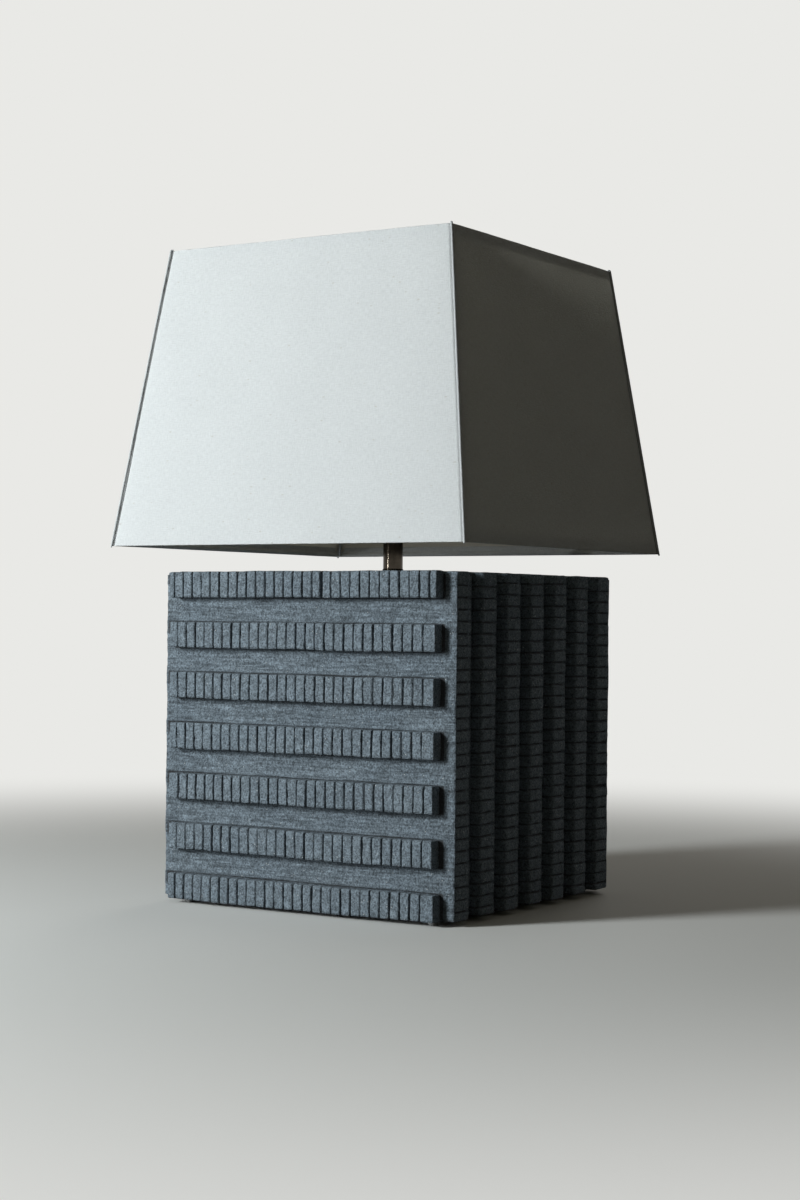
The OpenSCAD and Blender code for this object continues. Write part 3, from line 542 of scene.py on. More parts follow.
def beside_bars(across, along, bar_pitch, first_edge):
    """How far clay is smeared up beside the bars, with a crease left open right at each bar, and how deep
    in that crease a point lies, from 0 to 1."""
    k = np.clip(np.round((across - first_edge - BAR_W / 2) / bar_pitch), 0, BAR_COUNT - 1)
    gap = np.maximum(np.abs(across - first_edge - BAR_W / 2 - k * bar_pitch) - BAR_W / 2, 0)
    runs_on = FLANK_RUN * ((across > first_edge + k * bar_pitch + BAR_W / 2) & (along < 0))
    past_end = np.maximum(np.abs(along) - HALF - runs_on, 0)
    away = np.hypot(gap, past_end)
    crease = np.exp(-(away / CREASE_REACH) ** 2)
    return FILLET_RISE * np.exp(-(away / FILLET_REACH) ** 2) - CREASE_DEPTH * crease, crease


front_x = np.linspace(-HALF - EAR, HALF + EAR, 117)
front_x = np.sort(np.append(front_x, [s * (HALF + a) for s in (-1, 1) for a in side_steps[1:4]]))
right_y = strip_stops(UPRIGHT_PITCH, -HALF, 0)
ear = np.array([(EAR / MM + 0.3, 0.2), (EAR / MM - 0.1, 1.0), (6.0, 1.4), (0.6, 3.0), (0.0, 9.0)]) * MM
corner_in = [(HALF + a, -HALF + b) for a, b in ear]
corner_out = [(x, -y) for x, y in corner_in[::-1]]
half_path = [(x, -HALF, "front") for x in front_x] + [(x, y, "ear") for x, y in corner_in]
half_path += [(HALF, y, "right") for y in right_y] + [(x, y, "ear") for x, y in corner_out]
path_points = [(x, y, kind) for x, y, kind in half_path] + [(-x, -y, kind) for x, y, kind in half_path]
plan = np.array([(x, y) for x, y, kind in path_points])
kinds = np.array([kind for x, y, kind in path_points])
on_level = kinds == "front"
on_upright = kinds == "right"
reach = np.abs(plan).max(axis=1)
unit = plan / reach[:, None]
unit[on_level, 0] = plan[on_level, 0] / (HALF + EAR + 0.5 * MM)
unit[on_level, 1] = np.sign(plan[on_level, 1])
for corner_x, corner_y in ((1, -1), (1, 1), (-1, 1), (-1, -1)):
    near_ear = (kinds == "ear") & (np.sign(plan[:, 0]) == corner_x) & (np.sign(plan[:, 1]) == corner_y)
    rank = np.linspace(0.9995, 0.95, near_ear.sum())
    order = np.argsort(-np.abs(plan[near_ear, 0] * 1e3) + np.abs(plan[near_ear, 1]))
    values = np.empty(near_ear.sum())
    values[order] = rank
    unit[near_ear] = np.column_stack([np.full(near_ear.sum(), corner_x), corner_y * values])
circle = unit / np.linalg.norm(unit, axis=1)[:, None]
rings = []


def ring_at(plan_points, height):
    """Adds a ring of the skin: these points in plan, all at one height."""
    rings.append(np.column_stack([plan_points, np.full(len(plan_points), height)]))


for z in np.linspace(BLOCK_BOTTOM + LOWER_EDGE_R, CEILING - COVE_R, 22):
    ring_at(unit * INNER_HALF, z)
for turn in np.radians((0, 30, 60, 90)):
    ring_at(unit * (INNER_HALF - COVE_R * (1 - math.cos(turn))), CEILING - COVE_R * (1 - math.sin(turn)))
for s in np.linspace(0, 1, 12)[1:]:
    ring_at(unit * (INNER_HALF - COVE_R) * (1 - s) + circle * (PIPE_HOLE_R + HOLE_EDGE) * s, CEILING)
for z in (CEILING + HOLE_EDGE, (CEILING + BLOCK_TOP) / 2, BLOCK_TOP - HOLE_EDGE):
    ring_at(circle * PIPE_HOLE_R, z)
for s in np.linspace(0, 1, 22):
    ring_at(circle * (PIPE_HOLE_R + HOLE_EDGE) * (1 - s) + unit * (HALF - EDGE_R) * s, BLOCK_TOP)
for turn in np.radians((20, 40, 60, 80)):
    ring_at(unit * (HALF - EDGE_R * (1 - math.sin(turn))), BLOCK_TOP - EDGE_R * (1 - math.cos(turn)))
level_z = strip_stops(LEVEL_PITCH, BLOCK_BOTTOM, 4)
level_z = np.concatenate([
    np.linspace(BLOCK_BOTTOM + 2.5 * MM, level_z[0], 8)[:-1], level_z,
    np.linspace(level_z[-1], BLOCK_TOP - EDGE_R - 0.5 * MM, 8)[1:]])
outward = np.zeros_like(plan)
outward[on_level, 1] = np.sign(plan[on_level, 1])
outward[on_upright, 0] = np.sign(plan[on_upright, 0])
for z in level_z[::-1]:
    rise = np.zeros(len(plan))
    rise[on_level] = beside_bars(z, plan[on_level, 0], LEVEL_PITCH, BLOCK_BOTTOM)[0]
    rise[on_level] += EAR_PROUD * np.clip((np.abs(plan[on_level, 0]) - HALF) / (2 * MM) + 1, 0, 1)
    rise[on_upright] = beside_bars(plan[on_upright, 1], 0.0, UPRIGHT_PITCH, -HALF)[0]
    ring_at(plan + outward * rise[:, None], z)
for turn in np.radians((60, 30, 0)):
    ring_at(unit * (HALF - LOWER_EDGE_R * (1 - math.sin(turn))),
            BLOCK_BOTTOM + LOWER_EDGE_R * (1 - math.cos(turn)))
ring_at(unit * (HALF - 5 * MM), BLOCK_BOTTOM)
ring_at(unit * (INNER_HALF + 0.8 * MM), BLOCK_BOTTOM)

shell = new_object("block_shell", skin(rings, wrap_rows=True))
inlet_low, inlet_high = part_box("cord_grommet")
INLET_Z = (inlet_low.z + inlet_high.z) / 2
TO_BACK = Matrix.Rotation(-math.pi / 2, 4, "X")
combine(shell, moved(peg(INLET_R, -20 * MM, 20 * MM, 48), Matrix.Translation((0, HALF, INLET_Z)) @ TO_BACK))
spots = np.array([v.co for v in shell.data.vertices])
outside = np.abs(spots[:, :2]) > HALF - 2.5 * MM
outer = outside.any(1) & (spots[:, 2] < BLOCK_TOP - EDGE_R)
on_front = outside[:, 1]
crease = np.where(on_front, beside_bars(spots[:, 2], spots[:, 0], LEVEL_PITCH, BLOCK_BOTTOM)[1],
                  beside_bars(spots[:, 1], 0.0 * spots[:, 0], UPRIGHT_PITCH, -HALF)[1])
# The crease beside each bar is kept for the stoneware to paint shade in, and the outer faces are marked for
# its drag streaks, which carry painted shade too
mark(shell, score=np.where(outer, crease, 0.0), drag=np.where(outer, np.where(on_front, 1.0, -1.0), 0.0))
grow(shell, clay_tree, CLAY | {"Drag": 1.8 * MM})
hold_clay(shell, "top_slab", "front_wall", "right_wall", "back_wall", "left_wall")

# Bumper feet
# Four clear soft polyurethane bumpers, moulded as low domes with a flat face, stuck by their own adhesive
# under the front and back walls.
def rounded(corners, radius, closed=False, steps=4):
    """A run of (across, up) corners with each one turned over a radius, or less where its sides are short. A
    corner's own third number overrides the radius."""
    points = []
    for i, corner in enumerate(corners):
        here = Vector(corner[:2])
        if not closed and i in (0, len(corners) - 1):
            points.append(here)
            continue
        back = Vector(corners[i - 1][:2]) - here
        on = Vector(corners[(i + 1) % len(corners)][:2]) - here
        cut = min(corner[2] if len(corner) > 2 else radius, 0.45 * back.length, 0.45 * on.length)
        if cut < 1e-6:
            points.append(here)
            continue
        start, end = here + back.normalized() * cut, here + on.normalized() * cut
        if back.length > 5 * cut:
            points.append(start + back.normalized() * cut * 0.6)
        for k in range(steps + 1):
            t = k / steps
            points.append(start * (1 - t) ** 2 + here * 2 * t * (1 - t) + end * t * t)
        if on.length > 5 * cut:
            points.append(end + on.normalized() * cut * 0.6)
    return points


SHARP_FROM = math.radians(38)
LOOKS = {}  # the material of each slot, apart from stoneware and linen, which their trees give


def fit(obj, body, slot, *nodes):
    """Gives a piece its slot's material and smooth shading, and says what it moves with and replaces."""
    if slot in LOOKS:
        obj.data.materials.clear()
        obj.data.materials.append(LOOKS[slot])
    smooth(obj)
    obj.data.set_sharp_from_angle(angle=SHARP_FROM)
    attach(obj, body)
    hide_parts(*nodes)
    return obj


def finish(name, **inputs):
    """A material with one shader and its plain settings. Returns the material, its tree and the shader."""
    material, tree = emptied(bpy.data.materials.new(name))
    shader = add(tree, "BsdfPrincipled", {label.replace("_", " "): value for label, value in inputs.items()})
    add(tree, "OutputMaterial", {"Surface": shader})
    return material, tree, shader


def at(x=0.0, y=0.0, z=0.0):
    """The matrix that moves a part there."""
    return Matrix.Translation((x, y, z))


FOOT_FACE_R = 3.5 * MM
FOOT_INSET = 13 * MM
foot_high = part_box("bumper_feet")[1]
FOOT_R = foot_high.x - (HALF - FOOT_INSET)
WALL_MIDDLE = (HALF + INNER_HALF) / 2
# Clear polyurethane: soft, cloudy with age, and dusty where it is touched
LOOKS["clear_bumper"], tree, shader = finish(
    "clear_polyurethane", Base_Color=paint("#f1f5f4"), IOR=1.49, Transmission_Weight=0.15)
place = add(tree, "TexCoord").outputs["Object"]
dust = add(tree, "TexNoise", {"Vector": place, "Scale": 1 / (2 * MM), "Detail": 3.0})
link(tree, shader, {"Roughness": add(tree, "MapRange", {0: dust, 3: 0.12, 4: 0.34})})
dome = rounded([(0, 0), (FOOT_FACE_R, 0, 0.5 * MM), (FOOT_R - 0.3 * MM, foot_high.z * 0.55, 1.2 * MM),
                (FOOT_R, foot_high.z, 0.1 * MM), (0, foot_high.z)], 0.5 * MM)
feet = new_object("clear_bumpers", *(
    moved(lathe(dome, 40), at(sx * (HALF - FOOT_INSET), sy * WALL_MIDDLE))
    for sx in (-1, 1) for sy in (-1, 1)))
fit(feet, "lamp", "clear_bumper", "bumper_feet")


# Cord grommet
# A black moulded rubber bushing, pushed into the hole low in the back wall, with a flange on each face and a
# rounded mouth for the cord.
def turned(name, outline, corner, steps, place=None, bend=None, closed=False):
    """A turned piece from an outline whose corners are turned over."""
    part = lathe(rounded(outline, corner, closed), steps, closed, bend)
    return new_object(name, moved(part, place) if place else part)


def tint(tree, shader, pattern, light, dark):
    """Gives a shader a base colour that follows a pattern from one paint to another."""
    tone = add(tree, "Mix", {0: pattern, 6: paint(light), 7: paint(dark)}, data_type="RGBA")
    link(tree, shader, {"Base Color": tone.outputs[2]})


# Moulded rubber: near black, matt, with a faint bloom and a fine orange-peel skin
LOOKS["black_rubber"], tree, shader = finish("moulded_rubber", Roughness=0.72, Specular_IOR_Level=0.35)
place = add(tree, "TexCoord").outputs["Object"]
bloom = add(tree, "TexNoise", {"Vector": place, "Scale": 1 / (6 * MM), "Detail": 4.0})
tint(tree, shader, bloom, "#161616", "#2b2a29")
peel = add(tree, "TexNoise", {"Vector": place, "Scale": 1 / (0.7 * MM), "Detail": 2.0})
link(tree, shader, {"Normal": add(tree, "Bump", {"Height": peel, "Strength": 0.35, "Distance": 0.2 * MM})})
GROMMET_R = (inlet_high.x - inlet_low.x) / 2
BORE_R = 3.75 * MM
grommet = [
    (BORE_R, inlet_low.y, 0.7 * MM), (GROMMET_R, inlet_low.y, 0.8 * MM), (GROMMET_R, INNER_HALF, 0.5 * MM),
    (INLET_R - 0.15 * MM, INNER_HALF, 0.2 * MM), (INLET_R - 0.15 * MM, HALF, 0.2 * MM),
    (GROMMET_R, HALF, 0.5 * MM), (GROMMET_R, inlet_high.y, 0.8 * MM), (BORE_R, inlet_high.y, 0.7 * MM)]
bushing = turned("rubber_bushing", grommet, 0.4 * MM, 56, at(z=INLET_Z) @ TO_BACK, closed=True)
fit(bushing, "lamp", "black_rubber", "cord_grommet")


# Pipe, washers and nut
# A brass-plated steel tube, threaded over its whole length at 27 threads an inch, ties block, neck and
# lampholder together: a rubber washer, a steel washer and a hexagon nut hold it under the top slab.
INCH = 25.4 * MM
MARK_LENGTH = 14 * MM


def threaded(root, crest, pitch, low, high):
    """Gives every point of a lathe part between two heights the radius of a rounded thread."""
    def bend(turn, radius, height):
        phase = height / pitch - turn / (2 * math.pi)
        wave = root + (crest - root) * (0.5 + 0.5 * np.cos(2 * math.pi * phase))
        inside = (height > low) & (height < high) & (radius > root - 1e-6)
        return np.where(inside, wave, radius)
    return bend


def metal(name, light, dark, roughness, patch, marks):
    """Plated metal, drawn or turned: fine marks that run round the axis, so far apart, and a tone that is a
    little clouded in patches."""
    material, tree, shader = finish(name, Metallic=1.0)
    place = add(tree, "TexCoord").outputs["Object"]
    cloud = add(tree, "TexNoise", {"Vector": place, "Scale": 1 / patch, "Detail": 4.0, "Roughness": 0.6})
    cloud = add(tree, "MapRange", [cloud, 0.3, 0.7])
    tint(tree, shader, cloud, light, dark)
    lines = add(tree, "VectorMath MULTIPLY", [place, (1 / MARK_LENGTH, 1 / MARK_LENGTH, 1 / marks)])
    lines = add(tree, "TexNoise", {"Vector": lines, "Scale": 1.0, "Detail": 3.0})
    gloss = add(tree, "MapRange", [lines, 0.25, 0.75, roughness * 0.75, roughness * 1.3])
    bump = add(tree, "Bump", {"Height": lines, "Strength": 0.08, "Distance": 0.05 * MM})
    link(tree, shader, {"Roughness": gloss, "Normal": bump})
    return material


# Brass plate: warm yellow, satin from the drawing and turning, a little browned by handling
LOOKS["brass"] = metal("satin_brass_plate", "#c9ab6c", "#a8894f", 0.3, 9 * MM, 0.35 * MM)
# Zinc plate: cool grey, half matt, with a cloudy spangle
LOOKS["plated_steel"] = metal("zinc_plate", "#b3b7ba", "#8d9194", 0.36, 3 * MM, 0.5 * MM)

pipe_low, pipe_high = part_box("lamp_pipe")
PIPE_R = pipe_high.x
PIPE_BORE_R = 3.5 * MM
PIPE_THREAD = INCH / 27
thread_stops = np.arange(pipe_low.z + 0.5 * MM, pipe_high.z - 0.5 * MM, PIPE_THREAD / 6)
tube = [(PIPE_BORE_R, pipe_low.z + 0.3 * MM), (PIPE_BORE_R + 0.3 * MM, pipe_low.z),
        (PIPE_R - 0.7 * MM, pipe_low.z)]
tube += [(PIPE_R, z) for z in thread_stops]
tube += [(PIPE_R - 0.7 * MM, pipe_high.z), (PIPE_BORE_R + 0.3 * MM, pipe_high.z),
         (PIPE_BORE_R, pipe_high.z - 0.3 * MM)]
pipe = new_object("threaded_pipe", lathe(
    tube, 36, closed=True,
    bend=threaded(PIPE_R - 0.55 * MM, PIPE_R, PIPE_THREAD, pipe_low.z + 0.1 * MM, pipe_high.z - 0.1 * MM)))
fit(pipe, "lamp", "brass", "lamp_pipe")


def ring_of(inner, outer, low, high):
    """The outline of a plain ring."""
    return [(inner, low), (outer, low), (outer, high), (inner, high)]


OVER_PIPE = PIPE_R + 0.15 * MM
for name, node, slot, corner in (("rubber_washer", "cushion_washer", "black_rubber", 0.5 * MM),
                                 ("steel_washer", "slab_washer", "plated_steel", 0.35 * MM)):
    low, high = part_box(node)
    fit(turned(name, ring_of(OVER_PIPE, high.y, low.z, high.z), corner, 72, closed=True), "lamp", slot, node)

nut_low, nut_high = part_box("pipe_nut")
NUT_FLAT = nut_high.y
CHAMFER_RUN = 1.7


def hexagon(turn, radius, height):
    """Flats round a nut, with the corners of both faces turned off at 30 degrees."""
    flat = NUT_FLAT / np.cos((turn + math.pi / 6) % (math.pi / 3) - math.pi / 6)
    edge = np.minimum(height - nut_low.z, nut_high.z - height)
    return np.where(radius > NUT_FLAT - 0.5 * MM, np.minimum(flat, NUT_FLAT + edge * CHAMFER_RUN), radius)


sides = [nut_low.z + t * (nut_high.z - nut_low.z)
         for t in (0.0, 0.06, 0.12, 0.2, 0.35, 0.65, 0.8, 0.88, 0.94, 1.0)]
nut_ring = [(OVER_PIPE, nut_high.z - 0.5 * MM), (OVER_PIPE, nut_low.z + 0.5 * MM),
            (OVER_PIPE + 0.5 * MM, nut_low.z)]
nut_ring += [(NUT_FLAT, z) for z in sides] + [(OVER_PIPE + 0.5 * MM, nut_high.z)]
hex_nut = new_object("hex_nut", lathe(nut_ring, 96, closed=True, bend=hexagon))
fit(hex_nut, "lamp", "plated_steel", "pipe_nut")


# Neck
# A thin steel tube with two turned rings, all plated in dark bronze and polished: the seat ring stands on
# the top slab, and the check ring closes the tube under the harp.
# Dark bronze plate: nearly black-brown, glossy, with fine polishing lines round the tube
LOOKS["dark_bronze"] = metal("polished_dark_bronze", "#4a443c", "#3a352f", 0.12, 14 * MM, 0.6 * MM)
seat_low, seat_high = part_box("neck_seat_ring")
tube_low, tube_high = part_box("neck_tube")
check_low, check_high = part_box("neck_check_ring")
NECK_R = tube_high.y
NECK_WALL = 1.0 * MM
seat = [(OVER_PIPE, seat_low.z), (seat_high.x - 0.6 * MM, seat_low.z), (seat_high.x, seat_low.z + 0.9 * MM),
        (seat_high.x, seat_low.z + 2.1 * MM, 0.5 * MM),
        (NECK_R + 0.7 * MM, seat_high.z - 1.6 * MM, 0.5 * MM), (NECK_R + 0.35 * MM, seat_high.z, 0.2 * MM),
        (OVER_PIPE, seat_high.z)]
fit(turned("seat_ring", seat, 0.3 * MM, 72, closed=True), "lamp", "dark_bronze", "neck_seat_ring")
wall = ring_of(NECK_R - NECK_WALL, NECK_R, tube_low.z, tube_high.z)
fit(turned("neck_sleeve", wall, 0.25 * MM, 96, closed=True), "lamp", "dark_bronze", "neck_tube")
STEP_R = NECK_R - NECK_WALL - 0.15 * MM
check = [(OVER_PIPE, check_low.z), (STEP_R, check_low.z), (STEP_R, tube_high.z),
         (check_high.x, tube_high.z, 0.5 * MM), (check_high.x, check_high.z, 0.9 * MM),
         (OVER_PIPE, check_high.z)]
fit(turned("check_ring", check, 0.25 * MM, 72, closed=True), "lamp", "dark_bronze", "neck_check_ring")


# Harp saddle and ferrules
# A strip of brass-plated steel, pierced for the pipe and bent up at both ends, and two drawn sleeves that
# slide down over its tabs and the harp's legs.
def bar_along(section, path, width):
    """A flat strip that follows a path in XZ. section gives its half width at each point of the path."""
    points = np.array(path)
    ahead = np.gradient(points, axis=0)
    ahead /= np.linalg.norm(ahead, axis=1)[:, None]
    aside = np.column_stack([-ahead[:, 1], ahead[:, 0]]) * width / 2
    corner = 0.3 * MM
    rows = []
    for (x, z), (nx, nz), half_width in zip(points, aside, section):
        flat = half_width - corner
        shape = [(-flat, -1), (flat, -1), (half_width, -0.6), (half_width, 0.6), (flat, 1), (-flat, 1),
                 (-half_width, 0.6), (-half_width, -0.6)]
        rows.append([(x + nx * t, y, z + nz * t) for y, t in shape])
    return rows


def capped(rows):
    """A tube part from rings of points, closed at both ends by a flat fan to the middle of the end ring."""
    first, last = np.mean(rows[0], axis=0), np.mean(rows[-1], axis=0)
    rows = [[tuple(first)] * len(rows[0])] + [list(ring) for ring in rows] + [[tuple(last)] * len(rows[0])]
    return skin(rows)


saddle_low, saddle_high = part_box("harp_saddle")
STRIP_T = 1.5 * MM
STRIP_HALF_W = 4.0 * MM
EYE_R = saddle_high.y
BEND_R = 1.6 * MM
middle_z = saddle_low.z + STRIP_T / 2
end_x = saddle_high.x - STRIP_T / 2
half_strip = [(end_x, saddle_high.z), (end_x, saddle_high.z - 0.4 * MM), (end_x, middle_z + BEND_R + 2 * MM)]
half_strip += [(end_x - BEND_R * (1 - math.cos(a)), middle_z + BEND_R * (1 - math.sin(a)))
               for a in np.radians(np.linspace(0, 90, 7))]
half_strip += [(x, middle_z) for x in np.linspace(EYE_R + 5 * MM, 0, 22)]
strip_path = half_strip + [(-x, z) for x, z in half_strip[-2::-1]]
half_widths = [STRIP_HALF_W - (0.9 * MM if z > saddle_high.z - 0.2 * MM else 0) if abs(x) > EYE_R + 4 * MM
               else max(STRIP_HALF_W, math.sqrt(max(EYE_R ** 2 - x ** 2, 0))) for x, z in strip_path]
saddle = new_object("harp_saddle_strip", capped(bar_along(half_widths, strip_path, STRIP_T)))
combine(saddle, moved(peg(OVER_PIPE, -5 * MM, 5 * MM, 48), at(z=middle_z)))
fit(saddle, "lamp", "brass", "harp_saddle")


def rectangle(half_x, half_y, corner, steps=5):
    """Points round a rectangle with rounded corners."""
    points = []
    for quarter, (sx, sy) in enumerate(((1, 1), (-1, 1), (-1, -1), (1, -1))):
        for k in range(steps + 1):
            turn = math.radians(90 * (quarter + k / steps))
            points.append((sx * (half_x - corner) + corner * math.cos(turn),
                           sy * (half_y - corner) + corner * math.sin(turn)))
    return np.array(points)


# a ferrule's mouth from its bore outwards: how far in from the outside, and how far from the end
MOUTH = np.array([(0.8, 0.2), (0.5, 0), (0.15, 0.08), (0, 0.35), (0, 1.2)]) * MM
for side in ("left", "right"):
    low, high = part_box(side + "_ferrule")
    middle = (low + high) / 2
    rows = []
    for inset, z in [(i, low.z + up) for i, up in MOUTH] + [(i, high.z - down) for i, down in MOUTH[::-1]]:
        ring = rectangle(high.x - middle.x - inset, high.y - middle.y - inset, 1.5 * MM - inset)
        rows.append([(middle.x + x, middle.y + y, z) for x, y in ring])
    ferrule = new_object(side + "_harp_ferrule", skin(rows, wrap_rows=True))
    fit(ferrule, side + "_ferrule", "brass", side + "_ferrule")


# Harp
# One spring-steel wire, brass plated: two legs in the ferrules, bowed out past the bulb and over it, with a
# small block crimped on the bridge that carries the threaded stud.
def wire(path, radius, sides=16, axis=(0, 1, 0), wide=1.0):
    """A wire along points in one plane, whose normal is axis, with domed ends. It can be wider along axis,
    and its radius can change from point to point."""
    points = np.array([tuple(p) for p in path], float)
    radius = np.broadcast_to(radius, len(points))
    ahead = np.gradient(points, axis=0)
    ahead /= np.linalg.norm(ahead, axis=1)[:, None]
    flat = np.array(axis, float)
    aside = np.cross(ahead, flat)
    turn = np.arange(sides) * 2 * math.pi / sides

    def ring(centre, r, side):
        return [centre + r * (wide * math.cos(t) * flat + math.sin(t) * side) for t in turn]

    def dome(end, way):
        return [ring(points[end] + ahead[end] * radius[end] * 0.5 * way * math.sin(a),
                     radius[end] * math.cos(a), aside[end]) for a in np.radians((20, 45, 75))]

    rows = [ring(p, r, side) for p, r, side in zip(points, radius, aside)]
    return capped(dome(0, -1)[::-1] + rows + dome(-1, 1))


harp_low, harp_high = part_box("harp")
HARP_R = harp_high.y
LEG_X = saddle_high.x + 0.15 * MM + HARP_R
SIDE_X = harp_high.x - HARP_R
BEND_OUT_R = 30 * MM
TOP_R = 44 * MM
HARP_FOOT = 26 * MM
lean = math.acos(1 - (SIDE_X - LEG_X) / (2 * BEND_OUT_R))
top_z = harp_high.z - HARP_R
bend_rise = 2 * BEND_OUT_R * math.sin(lean)
side_start = harp_low.z + HARP_FOOT + bend_rise


def bent(x, z, across, up, angles):
    """Points on a round bend that leaves an upright run at (x, z)."""
    return [(x + across * (1 - math.cos(a)), z + up * math.sin(a)) for a in angles]


right_half = [(LEG_X, z) for z in np.linspace(harp_low.z, harp_low.z + HARP_FOOT, 8)[:-1]]
right_half += bent(LEG_X, harp_low.z + HARP_FOOT, BEND_OUT_R, BEND_OUT_R, np.linspace(0, lean, 9))
right_half += bent(SIDE_X, side_start, -BEND_OUT_R, -BEND_OUT_R, np.linspace(lean, 0, 9)[1:])
right_half += [(SIDE_X, z) for z in np.linspace(side_start, top_z - TOP_R, 10)[1:-1]]
right_half += bent(SIDE_X, top_z - TOP_R, -TOP_R, TOP_R, np.linspace(0, math.pi / 2, 25))
harp_path = [(x, 0, z) for x, z in right_half] + [(x, 0, top_z) for x in (5 * MM, 0.0, -5 * MM)]
harp_path += [(-x, 0, z) for x, z in right_half[::-1]]
fit(new_object("harp_wire", wire(harp_path, HARP_R, 20)), "lamp", "brass", "harp")


CROWDED = 0.92  # how much the cuts gather at the edges, from 0, evenly spaced, to 1


def pebble(low, high, corner, cuts=8):
    """A block with rounded edges and corners, from a cube whose faces are cut into a grid."""
    low, high = np.array(low, float), np.array(high, float)
    half, middle = (high - low) / 2, (high + low) / 2
    bm = bmesh.new()
    bmesh.ops.create_cube(bm, size=2)
    bmesh.ops.subdivide_edges(bm, edges=bm.edges, cuts=cuts, use_grid_fill=True)
    points = np.array([v.co for v in bm.verts])
    faces = [[v.index for v in face.verts] for face in bm.faces]
    bm.free()
    points = np.sin(points * math.pi / 2 * CROWDED) / math.sin(math.pi / 2 * CROWDED) * half
    inside = np.clip(points, -(half - corner), half - corner)
    out = points - inside
    length = np.maximum(np.linalg.norm(out, axis=1), 1e-12)[:, None]
    beyond = (np.abs(out) > 1e-9).sum(1) > 0
    points = np.where(beyond[:, None], inside + out / length * corner, points)
    return points + middle, faces


stud_low, stud_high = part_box("harp_stud")
BLOCK_H = 7 * MM
STUD_R = 3.175 * MM
STUD_THREAD = INCH / 27
stud_block = pebble((stud_low.x, stud_low.y, stud_low.z), (stud_high.x, stud_high.y, stud_low.z + BLOCK_H),
                    1.0 * MM)
stud_stops = np.arange(stud_low.z + BLOCK_H + 0.4 * MM, stud_high.z - 0.8 * MM, STUD_THREAD / 6)
stud_run = [(0, stud_low.z + 3 * MM), (STUD_R - 0.5 * MM, stud_low.z + 3 * MM)]
stud_run += [(STUD_R, z) for z in stud_stops] + [(STUD_R - 0.8 * MM, stud_high.z - 0.1 * MM),
                                                 (STUD_R - 1.2 * MM, stud_high.z), (0, stud_high.z)]
stud_thread = threaded(STUD_R - 0.45 * MM, STUD_R, STUD_THREAD, stud_stops[0] - 0.01 * MM,
                       stud_high.z - 0.5 * MM)
stud = new_object("harp_stud_block", stud_block, lathe(stud_run, 36, bend=stud_thread))
fit(stud, "lamp", "brass", "harp_stud")


# Lampholder
# A brass-plated cap screwed on the pipe and locked by a set screw, a brass shell with a rolled rim, a fibre
# sleeve inside it, a moulded switch body with two terminals, and the threaded shell that takes the bulb.
cap_low, cap_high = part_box("holder_cap")
CAP_R = cap_high.y
HUB_R = 8 * MM
SHEET = 0.8 * MM
hub_top = cap_low.z + 7 * MM
bowl = cap_low.z + 12 * MM
cap = [(OVER_PIPE, cap_low.z), (HUB_R, cap_low.z, 0.6 * MM), (HUB_R, hub_top - 2 * MM, 0.8 * MM),
       (CAP_R, bowl - SHEET, 3.2 * MM), (CAP_R, cap_high.z - 2.6 * MM, 0.3 * MM),
       (CAP_R + 0.6 * MM, cap_high.z - 1.9 * MM, 0.5 * MM),
       (CAP_R + 0.6 * MM, cap_high.z - 0.9 * MM, 0.5 * MM), (CAP_R, cap_high.z - 0.2 * MM, 0.2 * MM),
       (CAP_R, cap_high.z), (CAP_R - SHEET, cap_high.z), (CAP_R - SHEET, bowl, 2.4 * MM),
       (HUB_R, hub_top, 0.6 * MM), (OVER_PIPE, hub_top)]
cap = turned("lampholder_cap", cap, 0.25 * MM, 96, closed=True)
screw_low, screw_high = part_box("cap_setscrew")
SETSCREW_R = screw_high.x
screw_place = at(z=(screw_low.z + screw_high.z) / 2) @ TO_BACK
combine(cap, moved(peg(SETSCREW_R + 0.15 * MM, 6 * MM, 11 * MM, 32), screw_place))
fit(cap, "lamp", "brass", "holder_cap")
screw = [(0, screw_low.y), (SETSCREW_R - 0.6 * MM, screw_low.y), (SETSCREW_R, screw_low.y + 0.7 * MM),
         (SETSCREW_R, screw_high.y - 0.4 * MM, 0.4 * MM), (SETSCREW_R - 0.4 * MM, screw_high.y),
         (0, screw_high.y)]
set_screw = turned("cap_set_screw", screw, 0.2 * MM, 40, screw_place)
combine(set_screw, pebble((-0.35 * MM, screw_high.y - 0.9 * MM, screw_low.z - MM),
                          (0.35 * MM, screw_high.y + MM, screw_high.z + MM), 0.05 * MM, 2))
fit(set_screw, "lamp", "plated_steel", "cap_setscrew")

shell_low, shell_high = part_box("holder_shell")
SHELL_R = shell_high.y
SHELL_T = 0.6 * MM
stem_low, stem_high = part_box("switch_stem")
STEM_Z = (stem_low.z + stem_high.z) / 2
STEM_R = stem_high.x
TO_FRONT = Matrix.Rotation(math.pi / 2, 4, "X")
STEM_TURN = at(z=STEM_Z) @ TO_FRONT
stem_hole = moved(peg(STEM_R + 0.5 * MM, 8 * MM, 20 * MM, 40), STEM_TURN)
barrel = [(SHELL_R - SHELL_T, shell_low.z), (SHELL_R, shell_low.z), (SHELL_R, cap_high.z + 1.5 * MM)]
for bead in (cap_high.z + 14 * MM, shell_high.z - 4.6 * MM):
    barrel += [(SHELL_R, bead - 1.1 * MM, 0.4 * MM), (SHELL_R + 0.5 * MM, bead - 0.3 * MM, 0.4 * MM),
               (SHELL_R + 0.5 * MM, bead + 0.3 * MM, 0.4 * MM), (SHELL_R, bead + 1.1 * MM, 0.4 * MM)]
barrel += [(SHELL_R, shell_high.z - 1.3 * MM, 0.3 * MM),
           (SHELL_R + 0.7 * MM, shell_high.z - 0.9 * MM, 0.3 * MM),
           (SHELL_R + 0.7 * MM, shell_high.z - 0.1 * MM, 0.3 * MM),
           (SHELL_R + 0.1 * MM, shell_high.z, 0.3 * MM),
           (SHELL_R - SHELL_T, shell_high.z - 0.4 * MM, 0.2 * MM)]
